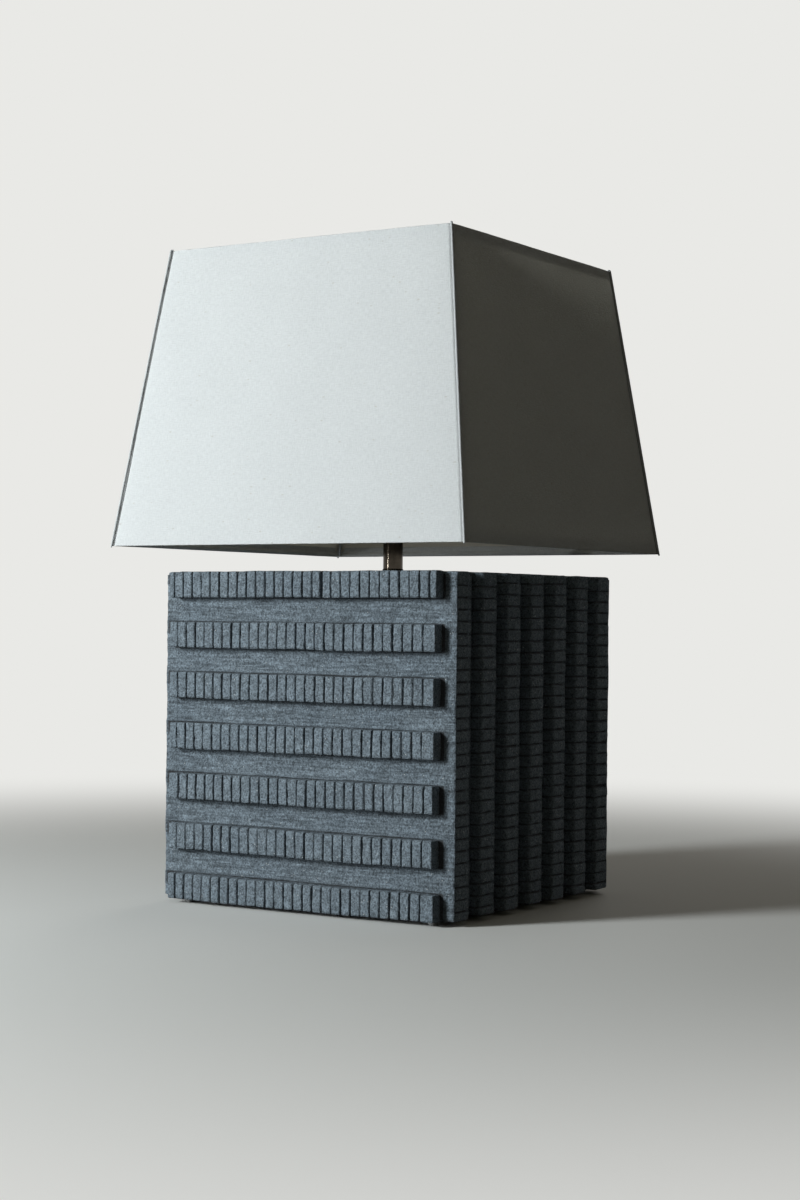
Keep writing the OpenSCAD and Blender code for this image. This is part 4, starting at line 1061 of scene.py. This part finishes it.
barrel = turned("lampholder_shell", barrel, 0.2 * MM, 96, closed=True)
combine(barrel, stem_hole)
fit(barrel, "lamp", "brass", "holder_shell")

# Pressed fibre: tan, matt and faintly flecked
LOOKS["fibre_board"], tree, shader = finish("pressed_fibre", Roughness=0.86, Specular_IOR_Level=0.3)
place = add(tree, "TexCoord").outputs["Object"]
flecks = add(tree, "VectorMath MULTIPLY", [place, (900, 900, 220)])
flecks = add(tree, "TexNoise", {"Vector": flecks, "Scale": 1.0, "Detail": 4.0, "Roughness": 0.7})
tint(tree, shader, flecks, "#b49c6e", "#8a7347")
link(tree, shader, {"Normal": add(tree, "Bump", {"Height": flecks, "Strength": 0.4, "Distance": 0.15 * MM})})
liner_low, liner_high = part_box("insulating_sleeve")
LINER_T = 0.8 * MM
liner = ring_of(liner_high.y - LINER_T, liner_high.y, liner_low.z, liner_high.z)
liner = turned("fibre_sleeve", liner, 0.2 * MM, 96, closed=True)
combine(liner, stem_hole)
fit(liner, "lamp", "fibre_board", "insulating_sleeve")

# Phenolic moulding: dark brown, hard, semi-gloss, with a faint flow pattern
LOOKS["phenolic"], tree, shader = finish("phenolic_moulding", Roughness=0.38, Coat_Weight=0.2)
place = add(tree, "TexCoord").outputs["Object"]
flow = add(tree, "TexNoise", {"Vector": place, "Scale": 1 / (5 * MM), "Detail": 5.0, "Distortion": 1.5})
tint(tree, shader, flow, "#1d1612", "#35271f")
core_low, core_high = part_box("switch_body")
CORE_R = core_high.x
FLAT_X = CORE_R - 3.5 * MM
flat_top = core_low.z + (core_high.z - core_low.z) * 0.6
core = [(0, core_low.z), (CORE_R, core_low.z, 0.5 * MM), (CORE_R, core_high.z, 0.5 * MM), (0, core_high.z)]
core = turned("switch_moulding", core, 0.5 * MM, 96)
for sign in (-1, 1):
    inner, outer_x = sign * FLAT_X, sign * (CORE_R + 5 * MM)
    combine(core, pebble((min(inner, outer_x), -0.02, core_low.z - 0.005),
                         (max(inner, outer_x), 0.02, flat_top), 0.6 * MM, 4))
combine(core, moved(peg(STEM_R + 0.1 * MM, 4 * MM, 20 * MM, 40), STEM_TURN))
fit(core, "lamp", "phenolic", "switch_body")

terminal_low, terminal_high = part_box("terminal_screws")
TERMINAL_R = terminal_high.y
terminal_z = (terminal_low.z + terminal_high.z) / 2
head = [(0, FLAT_X), (TERMINAL_R, FLAT_X, 0.2 * MM), (TERMINAL_R, terminal_high.x - 0.7 * MM, 0.5 * MM),
        (TERMINAL_R * 0.55, terminal_high.x, 0.6 * MM), (0, terminal_high.x)]
head = moved(lathe(rounded(head, 0.3 * MM), 40), Matrix.Rotation(math.pi / 2, 4, "Y"))
heads = new_object("terminal_screw_heads", *(
    moved(head, at(z=terminal_z) @ Matrix.Rotation(turn, 4, "Z")) for turn in (0, math.pi)))
for sign in (-1, 1):
    x = sign * terminal_high.x
    combine(heads, pebble((x - 0.8 * MM, -0.01, terminal_z - 0.4 * MM),
                          (x + 0.8 * MM, 0.01, terminal_z + 0.4 * MM), 0.05 * MM, 2))
fit(heads, "lamp", "brass", "terminal_screws")

BULB_THREAD = INCH / 7
socket_low, socket_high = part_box("screw_shell")
SOCKET_R = socket_high.x
socket_stops = np.linspace(socket_low.z + 2 * MM, socket_high.z - 2 * MM, 42)


def rolled(deep, low, high, run_out, from_radius=0.0):
    """A rolled thread between two heights, which fades in and out. In a thin shell the inside follows the
    outside's wave, unless only what lies beyond a radius is threaded."""
    def bend(turn, radius, height):
        wave = deep * (0.5 - 0.5 * np.cos(2 * math.pi * (height / BULB_THREAD - turn / (2 * math.pi))))
        fade = np.clip(np.minimum(height - low, high - height) / run_out, 0, 1)
        return np.where(radius > from_radius, radius - wave * fade, radius)
    return bend


socket = [(SOCKET_R - 0.4 * MM, socket_high.z), (SOCKET_R, socket_high.z)]
socket += [(SOCKET_R, z) for z in socket_stops[::-1]]
socket += [(SOCKET_R, socket_low.z), (SOCKET_R - 0.4 * MM, socket_low.z)]
socket += [(SOCKET_R - 0.4 * MM, z) for z in socket_stops]
socket_thread = rolled(0.35 * MM, socket_low.z + 1.5 * MM, socket_high.z - 1.5 * MM, 1.5 * MM)
socket = new_object("threaded_socket", lathe(socket, 64, closed=True, bend=socket_thread))
fit(socket, "lamp", "brass", "screw_shell")

contact_low, contact_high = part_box("centre_contact")
tongue = [(0, contact_low.z), (contact_high.x, contact_low.z),
          (contact_high.x, contact_low.z + 0.5 * MM, 0.2 * MM), (1.6 * MM, contact_high.z, 0.8 * MM),
          (0, contact_high.z)]
fit(turned("contact_tongue", tongue, 0.2 * MM, 40), "lamp", "brass", "centre_contact")


# Switch knob and stem
# A brass stem with a knurled end, and a moulded black knob with a ribbed skirt and a flat grip.
# Moulded plastic: black, glossy, with faint swirl marks
LOOKS["black_plastic"], tree, shader = finish("black_moulding", Coat_Weight=0.15)
place = add(tree, "TexCoord").outputs["Object"]
swirl = add(tree, "TexNoise", {"Vector": place, "Scale": 1 / (3 * MM), "Detail": 4.0, "Distortion": 2.0})
tint(tree, shader, swirl, "#100f0e", "#211f1d")
link(tree, shader, {"Roughness": add(tree, "MapRange", [swirl, 0.3, 0.7, 0.2, 0.34])})
knob_low, knob_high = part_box("switch_knob")
KNOB_R = knob_high.x
KNOB_LEN = knob_high.y - knob_low.y
knob_skirt = KNOB_LEN * 0.3
GRIP = 1.6 * MM
knob_turn = at(y=knob_high.y, z=STEM_Z) @ TO_FRONT


def ribbed(turn, radius, height):
    """Fine grip ribs round the skirt."""
    return np.where(radius > KNOB_R - 0.4 * MM, radius - 0.22 * MM * (0.5 + 0.5 * np.cos(30 * turn)), radius)


SOCKET_IN_KNOB = KNOB_LEN * 0.5
BOSS_R = STEM_R + GRIP
knob_run = [(0, SOCKET_IN_KNOB), (STEM_R + 0.1 * MM, SOCKET_IN_KNOB), (STEM_R + 0.1 * MM, 0),
            (KNOB_R, 0, 0.4 * MM), (KNOB_R, knob_skirt, 0.7 * MM), (BOSS_R, knob_skirt + 0.4 * MM, 0.5 * MM),
            (BOSS_R, SOCKET_IN_KNOB + GRIP, 0.7 * MM), (0, SOCKET_IN_KNOB + GRIP)]
grip = pebble((-GRIP, -KNOB_R, knob_skirt / 2), (GRIP, KNOB_R, KNOB_LEN), 0.9 * MM, 12)
knob = turned("knob_moulding", knob_run, 0.2 * MM, 120, knob_turn, bend=ribbed)
combine(knob, moved(grip, knob_turn), "UNION")
fit(knob, "switch", "black_plastic", "switch_knob")
stem = [(0, -stem_high.y), (STEM_R - 0.3 * MM, -stem_high.y), (STEM_R, -stem_high.y + 0.3 * MM),
        (STEM_R, -stem_low.y - 0.4 * MM), (STEM_R - 0.4 * MM, -stem_low.y), (0, -stem_low.y)]
fit(turned("switch_shaft", stem, 0.1 * MM, 48, STEM_TURN), "switch", "brass", "switch_stem")


# Bulb
# A frosted glass envelope blown in one piece and cemented in a nickel-plated screw cap, with a black glass
# insulator and a soldered tip.
# Nickel plate: bright, cool, lightly brushed by the threads it has been in
LOOKS["bulb_metal"] = metal("nickel_plate", "#cfcfca", "#aeaeaa", 0.24, 6 * MM, 0.5 * MM)
cap_end_low, cap_end_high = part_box("bulb_screw_cap")
BULB_CAP_R = cap_end_high.x
cap_stops = np.linspace(cap_end_low.z + 1.2 * MM, cap_end_high.z - 4.4 * MM, 44)
CAP_LAP = 8 * MM
# the thread runs out below the cap's plain collar
cap_thread = rolled(0.9 * MM, cap_end_low.z + 0.6 * MM, cap_end_high.z - 3.6 * MM, 1.4 * MM,
                    BULB_CAP_R - 0.35 * MM)
cap_run = [(0, cap_end_low.z), (BULB_CAP_R - 1.6 * MM, cap_end_low.z),
           (BULB_CAP_R - 0.3 * MM, cap_end_low.z + 0.7 * MM)]
cap_run += [(BULB_CAP_R, z) for z in cap_stops]
cap_run += [(BULB_CAP_R, cap_end_high.z - 3.4 * MM), (BULB_CAP_R, cap_end_high.z - 0.5 * MM),
            (BULB_CAP_R - 0.2 * MM, cap_end_high.z), (BULB_CAP_R - 0.4 * MM, cap_end_high.z - 0.1 * MM),
            (BULB_CAP_R - 0.4 * MM, cap_end_high.z - CAP_LAP), (0, cap_end_high.z - CAP_LAP)]
fit(new_object("bulb_cap", lathe(cap_run, 64, bend=cap_thread)), "bulb", "bulb_metal", "bulb_screw_cap")
insulator_low, insulator_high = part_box("bulb_insulator")
tip_low, tip_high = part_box("bulb_tip")
vitrite = [(0, insulator_low.z), (tip_high.x + 0.5 * MM, insulator_low.z, 0.3 * MM),
           (insulator_high.x, insulator_high.z, 0.5 * MM), (0, insulator_high.z)]
fit(turned("bulb_insulator_glass", vitrite, 0.3 * MM, 56), "bulb", "phenolic", "bulb_insulator")
solder = [(0, tip_low.z), (1.6 * MM, tip_low.z + 0.05 * MM),
          (tip_high.x - 1.1 * MM, tip_low.z + 0.5 * MM, 0.4 * MM),
          (tip_high.x, tip_high.z - 0.2 * MM, 0.15 * MM), (tip_high.x, tip_high.z), (0, tip_high.z)]
fit(turned("bulb_contact", solder, 0.4 * MM, 48), "bulb", "bulb_metal", "bulb_tip")

# Inside-frosted glass: milky white, light passes but no shape does, and the outside stays glossy
LOOKS["frosted_glass"], tree, shader = finish(
    "frosted_glass", IOR=1.5, Transmission_Weight=0.55, Coat_Weight=0.6, Coat_Roughness=0.06)
place = add(tree, "TexCoord").outputs["Object"]
cloud = add(tree, "TexNoise", {"Vector": place, "Scale": 1 / (12 * MM), "Detail": 3.0})
tint(tree, shader, cloud, "#f4f3ee", "#e9e8e2")
link(tree, shader, {"Roughness": add(tree, "MapRange", {0: cloud, 3: 0.5, 4: 0.62})})
glass_low, glass_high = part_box("bulb_glass")
GLASS_R = glass_high.y
GLASS_T = 1.0 * MM
neck_r = BULB_CAP_R - 0.4 * MM - 0.15 * MM
crown_z = glass_high.z - GLASS_R
meet = math.radians(-40)


def envelope(inset):
    """Half of the glass outline, from the crown down: a ball, a shoulder and a straight neck."""
    ball, throat = GLASS_R - inset, neck_r - inset
    run = [(ball * math.cos(a), crown_z + ball * math.sin(a)) for a in np.linspace(math.pi / 2, meet, 34)]
    start_r, start_z = run[-1]
    for t in np.linspace(0, 1, 16)[1:]:
        run.append((throat + (start_r - throat) * (1 - t) ** 2, start_z + (cap_end_high.z - start_z) * t))
    return run + [(throat, glass_low.z)]


glass = new_object("glass_envelope", lathe(envelope(0) + envelope(GLASS_T)[::-1], 72))
fit(glass, "bulb", "frosted_glass", "bulb_glass")


# Shade frame
# A zinc-plated washer with four wire arms drops over the harp's stud. Two square wire loops carry the cloth,
# with a straight rib welded up each corner between them.
def square_loop(half, bend_r, z, profile, per_side=40, per_corner=6):
    """A closed profile of (outward, up) points, run round a square loop with rounded corners."""
    stations = []
    for quarter in range(4):
        turn = Matrix.Rotation(quarter * math.pi / 2, 2)
        for x in np.linspace(-(half - bend_r), half - bend_r, per_side):
            stations.append((turn @ Vector((x, -half)), turn @ Vector((0, -1))))
        for a in np.linspace(0, math.pi / 2, per_corner + 2)[1:-1]:
            facing = Vector((math.sin(a), -math.cos(a)))
            stations.append((turn @ (Vector((half - bend_r, bend_r - half)) + facing * bend_r),
                             turn @ facing))
    return skin([[(p.x + n.x * out, p.y + n.y * out, z + up) for out, up in profile] for p, n in stations],
                wrap_rows=True)


fitter_low, fitter_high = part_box("shade_fitter")
PLATE_T = 1.6 * MM
FITTER_R = 18 * MM
ARM_R = 1.5 * MM
HUB_BEND = 26 * MM
upper_low, upper_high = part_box("upper_wire")
lower_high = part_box("lower_wire")[1]
WIRE_R = (upper_high.z - upper_low.z) / 2
upper_half, upper_z = upper_high.x - WIRE_R, upper_high.z - WIRE_R
lower_half, lower_z = lower_high.x - WIRE_R, lower_high.z - WIRE_R
WIRE_BEND = 3.55 * MM
ring = ring_of(STUD_R + 0.2 * MM, FITTER_R, fitter_low.z, fitter_low.z + PLATE_T)
fitter_parts = [lathe(rounded(ring, 0.4 * MM, closed=True), 72, closed=True)]
arm_reach = fitter_high.x
arm_path = [(x, 0, fitter_low.z + PLATE_T + ARM_R * 0.75) for x in np.linspace(FITTER_R * 0.55, FITTER_R, 4)]
arm_z = arm_path[0][2]
arm_path += [(x, 0, arm_z + (upper_z - arm_z) * ((x - FITTER_R) / (arm_reach - FITTER_R)) ** 1.15)
             for x in np.linspace(HUB_BEND, arm_reach - ARM_R * 0.5, 26)]
weld = [(0, 0), (2.6 * MM, 0), (2.3 * MM, 0.7 * MM), (1.5 * MM, 1.2 * MM), (0, 1.3 * MM)]
QUARTERS = [Matrix.Rotation(quarter * math.pi / 2, 4, "Z") for quarter in range(4)]
for spin in QUARTERS:
    fitter_parts.append(moved(wire(arm_path, ARM_R, 14), spin))
    fitter_parts.append(moved(lathe(rounded(weld, 0.5 * MM), 20),
                              spin @ at(x=FITTER_R - 3.4 * MM, z=fitter_low.z + PLATE_T - 0.2 * MM)))
fit(new_object("fitter_spider", *fitter_parts), "shade", "plated_steel", "shade_fitter")

round_wire = [(WIRE_R * math.cos(a), WIRE_R * math.sin(a)) for a in np.arange(14) * 2 * math.pi / 14]
for name, half, z in (("upper_wire", upper_half, upper_z), ("lower_wire", lower_half, lower_z)):
    loop = new_object(name + "_loop", square_loop(half, WIRE_BEND, z, round_wire))
    fit(loop, "shade", "plated_steel", name)
RIB_R = 1.25 * MM
taper = (lower_half - upper_half) / (upper_z - lower_z)
rib_ends = [(half - WIRE_BEND, half - WIRE_BEND, z) for half, z in (
    (lower_half + taper * 1.2 * MM, lower_z - 1.0 * MM),
    (upper_half - taper * 1.0 * MM, upper_z + 1.0 * MM))]
rib_path = [Vector(rib_ends[0]).lerp(Vector(rib_ends[1]), t) for t in np.linspace(0, 1, 12)]
rib = wire(rib_path, RIB_R, 12, axis=(math.sqrt(0.5), -math.sqrt(0.5), 0))
ribs = new_object("corner_rib_wires", *(moved(rib, spin) for spin in QUARTERS))
fit(ribs, "shade", "plated_steel", "corner_ribs")


# Shade cloth
# Off-white linen laminated on a stiff pale backing, cut to four trapeziums. Their edges are folded out and
# sewn together in a ridge down each corner, and the cloth is rolled over both wires and glued inside.
# Plain-weave linen: threads 1 mm apart, coarser than the real 0.6 mm so that they show, uneven in thickness,
# with a few grey knots; the backing inside is smooth, matt and a little warmer
linen, tree, shader = finish("off_white_linen", Roughness=0.9, Specular_IOR_Level=0.25, Sheen_Weight=0.25,
                             Sheen_Roughness=0.5)
lay = add(tree, "TexCoord").outputs["UV"]
THREAD = 1.0 * MM
SLUB_LENGTH = 5 * MM
KNOT_ROOM = (7 * MM, 3.5 * MM)
weft, warp = (add(tree, "TexNoise", {"Vector": add(tree, "VectorMath MULTIPLY", [lay, fine]), "Detail": 3.0,
                                     "Scale": 1.0})
              for fine in ((1 / SLUB_LENGTH, 1 / THREAD, 0), (1 / THREAD, 1 / SLUB_LENGTH, 0)))
threads = add(tree, "Math", [weft, warp])
shade_tone = add(tree, "MapRange", [threads, 0.7, 1.3, 0.9, 1.06])
knots = add(tree, "VectorMath MULTIPLY", [lay, (1 / KNOT_ROOM[0], 1 / KNOT_ROOM[1], 0)])
knots = add(tree, "TexVoronoi", {"Vector": knots, "Scale": 1.0, "Randomness": 1.0})
knot_chance = chained(tree, knots.outputs["Color"], ("SeparateColor",), ("Math GREATER_THAN", 0.93))
slub = chained(tree, knots.outputs["Distance"], ("MapRange", 0.08, 0.26, 0.4, 0.0),
               ("Math MULTIPLY", knot_chance))
cloud = add(tree, "TexNoise", {"Vector": lay, "Scale": 1 / (60 * MM), "Detail": 3.0})
cloth = add(tree, "Mix", {0: cloud, 6: paint("#eceff0"), 7: paint("#e6e9ea")}, data_type="RGBA")
single = add(tree, "Attribute", attribute_name="single").outputs["Fac"]
layers = add(tree, "MapRange", {0: single, 3: 0.8, 4: 1.0})
shade_tone = add(tree, "Math MULTIPLY", [shade_tone, layers])
# Painted shade: the cloth is darkened to less than half in the narrow crease beside each corner's ridge
crease = add(tree, "Attribute", attribute_name="crease").outputs["Fac"]
crease_shade = add(tree, "MapRange", {0: crease, 3: 1.0, 4: 0.42})
shade_tone = add(tree, "Math MULTIPLY", [shade_tone, crease_shade])
cloth = add(tree, "VectorMath SCALE", {0: cloth.outputs[2], 3: shade_tone})
cloth = add(tree, "Mix", {0: slub, 6: cloth, 7: paint("#b9b2a2")}, data_type="RGBA")
inside = add(tree, "Attribute", attribute_name="backing").outputs["Fac"]
cloth = add(tree, "Mix", {0: inside, 6: cloth.outputs[2], 7: paint("#e6e3da")}, data_type="RGBA")
weave_deep = add(tree, "MapRange", {0: inside, 3: 1.0, 4: 0.08})
raised = add(tree, "Math MULTIPLY", [threads, weave_deep])
bump = add(tree, "Bump", {"Height": raised, "Strength": 0.6, "Distance": 0.5 * MM})
link(tree, shader, {"Base Color": cloth.outputs[2], "Normal": bump})
# Light passes through a single layer of cloth and its milky backing, but not through folded edges and seams
passed = add(tree, "MapRange", {0: inside, 3: 0.18, 4: 0.5})
passed = add(tree, "Math MULTIPLY", [passed, single])
through = add(tree, "BsdfTranslucent", {"Color": paint("#f6f3ea"), "Normal": bump})
woven = add(tree, "MixShader", [passed, shader, through])
add(tree, "OutputMaterial", {"Surface": woven}).is_active_output = True

# Cloth pulled over a frame: slow swells along one direction and finer ripples, which fade nowhere
cloth_tree, given, result = node_tree("stretched_cloth", {
    "Geometry": "Geometry", "Direction": "Vector", "Swell": "Float", "Ripple": "Float",
    "Material": "Material"})
tree = cloth_tree
point = add(tree, "GeometryNodeInputPosition")
swell = chained(tree, add(tree, "TexNoise", {"Vector": point, "Scale": 1 / (90 * MM), "Detail": 1.0}),
                ("Math SUBTRACT", 0.5), ("Math MULTIPLY", given["Swell"]))
ripple = add(tree, "TexNoise", {"Vector": point, "Scale": 1 / (16 * MM), "Detail": 2.0})
ripple = add(tree, "VectorMath SUBTRACT", [ripple.outputs["Color"], (0.5, 0.5, 0.5)])
ripple = add(tree, "VectorMath SCALE", {0: ripple, 3: given["Ripple"]})
push = add(tree, "VectorMath SCALE", {0: given["Direction"], 3: swell})
push = add(tree, "VectorMath", [push, ripple])
shaped = add(tree, "GeometryNodeSetPosition", {"Geometry": given["Geometry"], "Offset": push})
shaped = add(tree, "GeometryNodeSetMaterial", {"Geometry": shaped, "Material": given["Material"]})
link(tree, result, [shaped])


def lay_cloth(obj):
    """Lays a UV map in metres on a mesh: each face along the side of the shade that it looks out of."""
    mesh = obj.data
    layer = mesh.uv_layers.new(name="lay")
    for face in mesh.polygons:
        n = face.normal
        across = 1 if abs(n.x) > abs(n.y) else 0
        for loop in face.loop_indices:
            p = mesh.vertices[mesh.loops[loop].vertex_index].co
            layer.data[loop].uv = (p[across], p.z if abs(n.z) < 0.8 else p.z + p[1 - across])


panel_low, panel_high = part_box("front_panel")
BOTTOM_HALF = panel_high.x
BOTTOM_Z, TOP_Z = panel_low.z, panel_high.z
TOP_HALF = upper_half + (BOTTOM_HALF - lower_half)
PANEL_T = 1.2 * MM
PANEL_EDGE = 0.6 * MM
PINCH = 1.2 * MM
PINCH_REACH = 11 * MM
SEAM_CREASE = 0.8 * MM
CREASE_AT_MM, CREASE_WIDE_MM = 2.2, 0.65
ALLOWANCE = 7 * MM
slope = (BOTTOM_HALF - TOP_HALF) / (TOP_Z - BOTTOM_Z)
slant = math.hypot(1, slope)


def crease_at(from_side):
    """1 in the narrow crease beside a corner's ridge, 0 away from it."""
    return np.exp(-((from_side / MM - CREASE_AT_MM) / CREASE_WIDE_MM) ** 2)


def drawn_in(from_side):
    """How far the cloth is pulled in, this near to a seam: a wide pinch, and the crease."""
    pinch = PINCH * np.exp(-from_side / PINCH_REACH) * np.minimum(1, from_side / (2 * MM) + 0.25)
    return pinch + SEAM_CREASE * crease_at(from_side)


def panel_part():
    """One side of the shade, facing -Y: its two faces meet in a rounded edge all round, and near the corners
    it is drawn in towards the seam."""
    rows, inner = [], []
    ends = np.array([0.0, 0.25, 0.6, 1.0, 1.4, 1.8, 2.2, 2.6, 3.1, 3.8, 5.0, 8.0, 12.0, 18.0, 26.0]) * MM
    across = np.concatenate([ends, np.linspace(34 * MM, 2 * BOTTOM_HALF - 34 * MM, 74),
                             2 * BOTTOM_HALF - ends[::-1]])
    height = TOP_Z - BOTTOM_Z
    up = np.concatenate([ends[:7], np.linspace(10 * MM, height - 10 * MM, 56), height - ends[6::-1]])
    for s in across:
        outside, backing = [], []
        for u in up:
            half = BOTTOM_HALF - slope * u
            # the last rows keep their distance from the mitred edge, the others spread evenly
            x = (s - BOTTOM_HALF) * (half / BOTTOM_HALF)
            from_side = half - abs(x)
            from_end = min(u, height - u)
            round_side = math.sqrt(max(1 - max(1 - from_side / PANEL_EDGE, 0) ** 2, 0))
            round_end = math.sqrt(max(1 - max(1 - from_end / PANEL_EDGE, 0) ** 2, 0))
            thick = PANEL_T * round_side * round_end
            middle = -half + PANEL_T * slant / 2 + drawn_in(from_side) * slant
            for side, points in ((-1, outside), (1, backing)):
                points.append((x * (1 - 0.5 * PANEL_T / half), middle + side * thick * slant / 2,
                               BOTTOM_Z + u))
        rows.append(outside + backing[::-1])
    return skin(rows)


front_part = panel_part()
for side, spin in zip(("front", "right", "back", "left"), QUARTERS):
    panel = new_object(side + "_cloth", moved(front_part, spin))
    facing = spin @ Vector((0, -1, 0))
    spots = np.array([v.co for v in panel.data.vertices])
    half = BOTTOM_HALF - slope * (spots[:, 2] - BOTTOM_Z)
    from_side = half - abs(spots @ np.array(spin @ Vector((1, 0, 0))))
    depth = spots @ np.array(facing) - half + (PANEL_T / 2 + drawn_in(from_side)) * slant
    behind = (depth < -PANEL_T / 4).astype(float)
    mark(panel, backing=behind, single=1 - behind * (from_side < ALLOWANCE), crease=crease_at(from_side))
    grow(panel, cloth_tree, {"Direction": facing, "Swell": 1.6 * MM, "Ripple": 0.25 * MM, "Material": linen})
    lay_cloth(panel)
    fit(panel, "shade", "linen", side + "_panel")

HEM_R = WIRE_R + 0.6 * MM
HEM_T = 0.5 * MM


def hem_profile(way):
    """The cloth from the panel's edge round the wire and up (or down) inside it, as a closed outline."""
    def panel_face(up):
        return HEM_R * 1.03 - slope * up * way

    outer = [(HEM_R * math.cos(a), HEM_R * math.sin(a)) for a in np.radians(np.linspace(12, -235, 26))]
    over = [(0.1, 2.3), (0.8, 3.0)]
    flap = [(4.2, 0.6), (6.0, 0.6), (7.6, 0.6), (7.9, 0.35), (7.6, 0.1), (6.0, 0.1), (4.2, 0.12), (3.4, 0.4)]
    flap = [(panel_face(u * MM) - o * MM, u * MM) for u, o in flap]
    lining = [((HEM_R - HEM_T) * math.cos(a), (HEM_R - HEM_T) * math.sin(a))
              for a in np.radians(np.linspace(-235, 12, 26))]
    over, under = ([(o * MM, u * MM) for o, u in run] for run in (over, [(0.75, 2.4), (0.0, 1.75)]))
    shape = outer + over + flap + under + lining
    return [(o, u * way) for o, u in shape]


for name, half, z, way in (("upper_hem", upper_half, upper_z, -1), ("lower_hem", lower_half, lower_z, 1)):
    hem = new_object(name + "_cloth", square_loop(half, WIRE_BEND, z, hem_profile(way), 56))
    grow(hem, cloth_tree, {"Direction": (0, 0, 0), "Swell": 0.0, "Ripple": 0.3 * MM, "Material": linen})
    lay_cloth(hem)
    fit(hem, "shade", "linen", name)

# The ridge stands 1 mm out of each corner, a little over 2 mm wide, with a dimple at every stitch. It curls
# in over the top edge and runs 1.5 mm past the lower one.
seam_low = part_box("corner_seams")[0]
SEAM_R = 0.85 * MM
SEAM_WIDE = 1.3
STITCH = 3.2 * MM
seam_sink = SEAM_R * 0.35
ridge_z = np.arange(seam_low.z + SEAM_R, TOP_Z - 0.2 * MM, 0.8 * MM)
ridge = [(BOTTOM_HALF - slope * (z - BOTTOM_Z) - seam_sink,) * 2 + (z,) for z in ridge_z]
top_x = ridge[-1][0]
ridge += [(top_x - step * MM, top_x - step * MM, ridge[-1][2] + rise * MM)
          for step, rise in ((0.15, 0.45), (0.5, 0.8), (1.0, 0.95), (1.6, 0.8))]
stitches = 1 - 0.13 * np.maximum(np.cos(2 * math.pi * np.array([p[2] for p in ridge]) / STITCH), 0) ** 2
ridge_part = wire(ridge, SEAM_R * stitches, 14, axis=(math.sqrt(0.5), -math.sqrt(0.5), 0), wide=SEAM_WIDE)
seams = new_object("corner_seam_ridges", *(moved(ridge_part, spin) for spin in QUARTERS))
grow(seams, cloth_tree, {"Direction": (0, 0, 0), "Swell": 0.0, "Ripple": 0.25 * MM, "Material": linen})
lay_cloth(seams)
fit(seams, "shade", "linen", "corner_seams")


# Finial
# A turned knob in the same dark bronze as the neck, tapped for the stud, with a flared foot, a thin waist
# with a bead and a ball.
finial_low, finial_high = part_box("finial")
BALL_R = finial_high.x
FOOT_R = 7 * MM
crown_z = finial_high.z - BALL_R
tapped = STUD_R + 0.1 * MM
outline = [(0, finial_low.z + 11 * MM), (tapped - 0.6 * MM, finial_low.z + 11 * MM),
           (tapped, finial_low.z + 10.2 * MM), (tapped, finial_low.z + 0.6 * MM),
           (tapped + 0.5 * MM, finial_low.z), (FOOT_R, finial_low.z, 0.4 * MM),
           (FOOT_R, finial_low.z + 2.1 * MM, 0.7 * MM), (5.3 * MM, finial_low.z + 3.2 * MM, 0.6 * MM),
           (4.5 * MM, finial_low.z + 5.0 * MM, 1.0 * MM), (4.5 * MM, finial_low.z + 6.6 * MM, 0.5 * MM),
           (5.3 * MM, finial_low.z + 7.3 * MM, 0.5 * MM), (5.3 * MM, finial_low.z + 8.1 * MM, 0.5 * MM),
           (4.7 * MM, finial_low.z + 8.8 * MM, 0.3 * MM)]
ball = [(BALL_R * math.cos(a), crown_z + BALL_R * math.sin(a)) for a in np.radians(np.linspace(-52, 90, 30))]
outline = rounded(outline, 0.3 * MM) + [Vector((max(r, 0.0), z)) for r, z in ball]
outline[-1] = Vector((0, finial_high.z))
fit(new_object("turned_finial", lathe(outline, 80)), "finial", "dark_bronze", "finial")
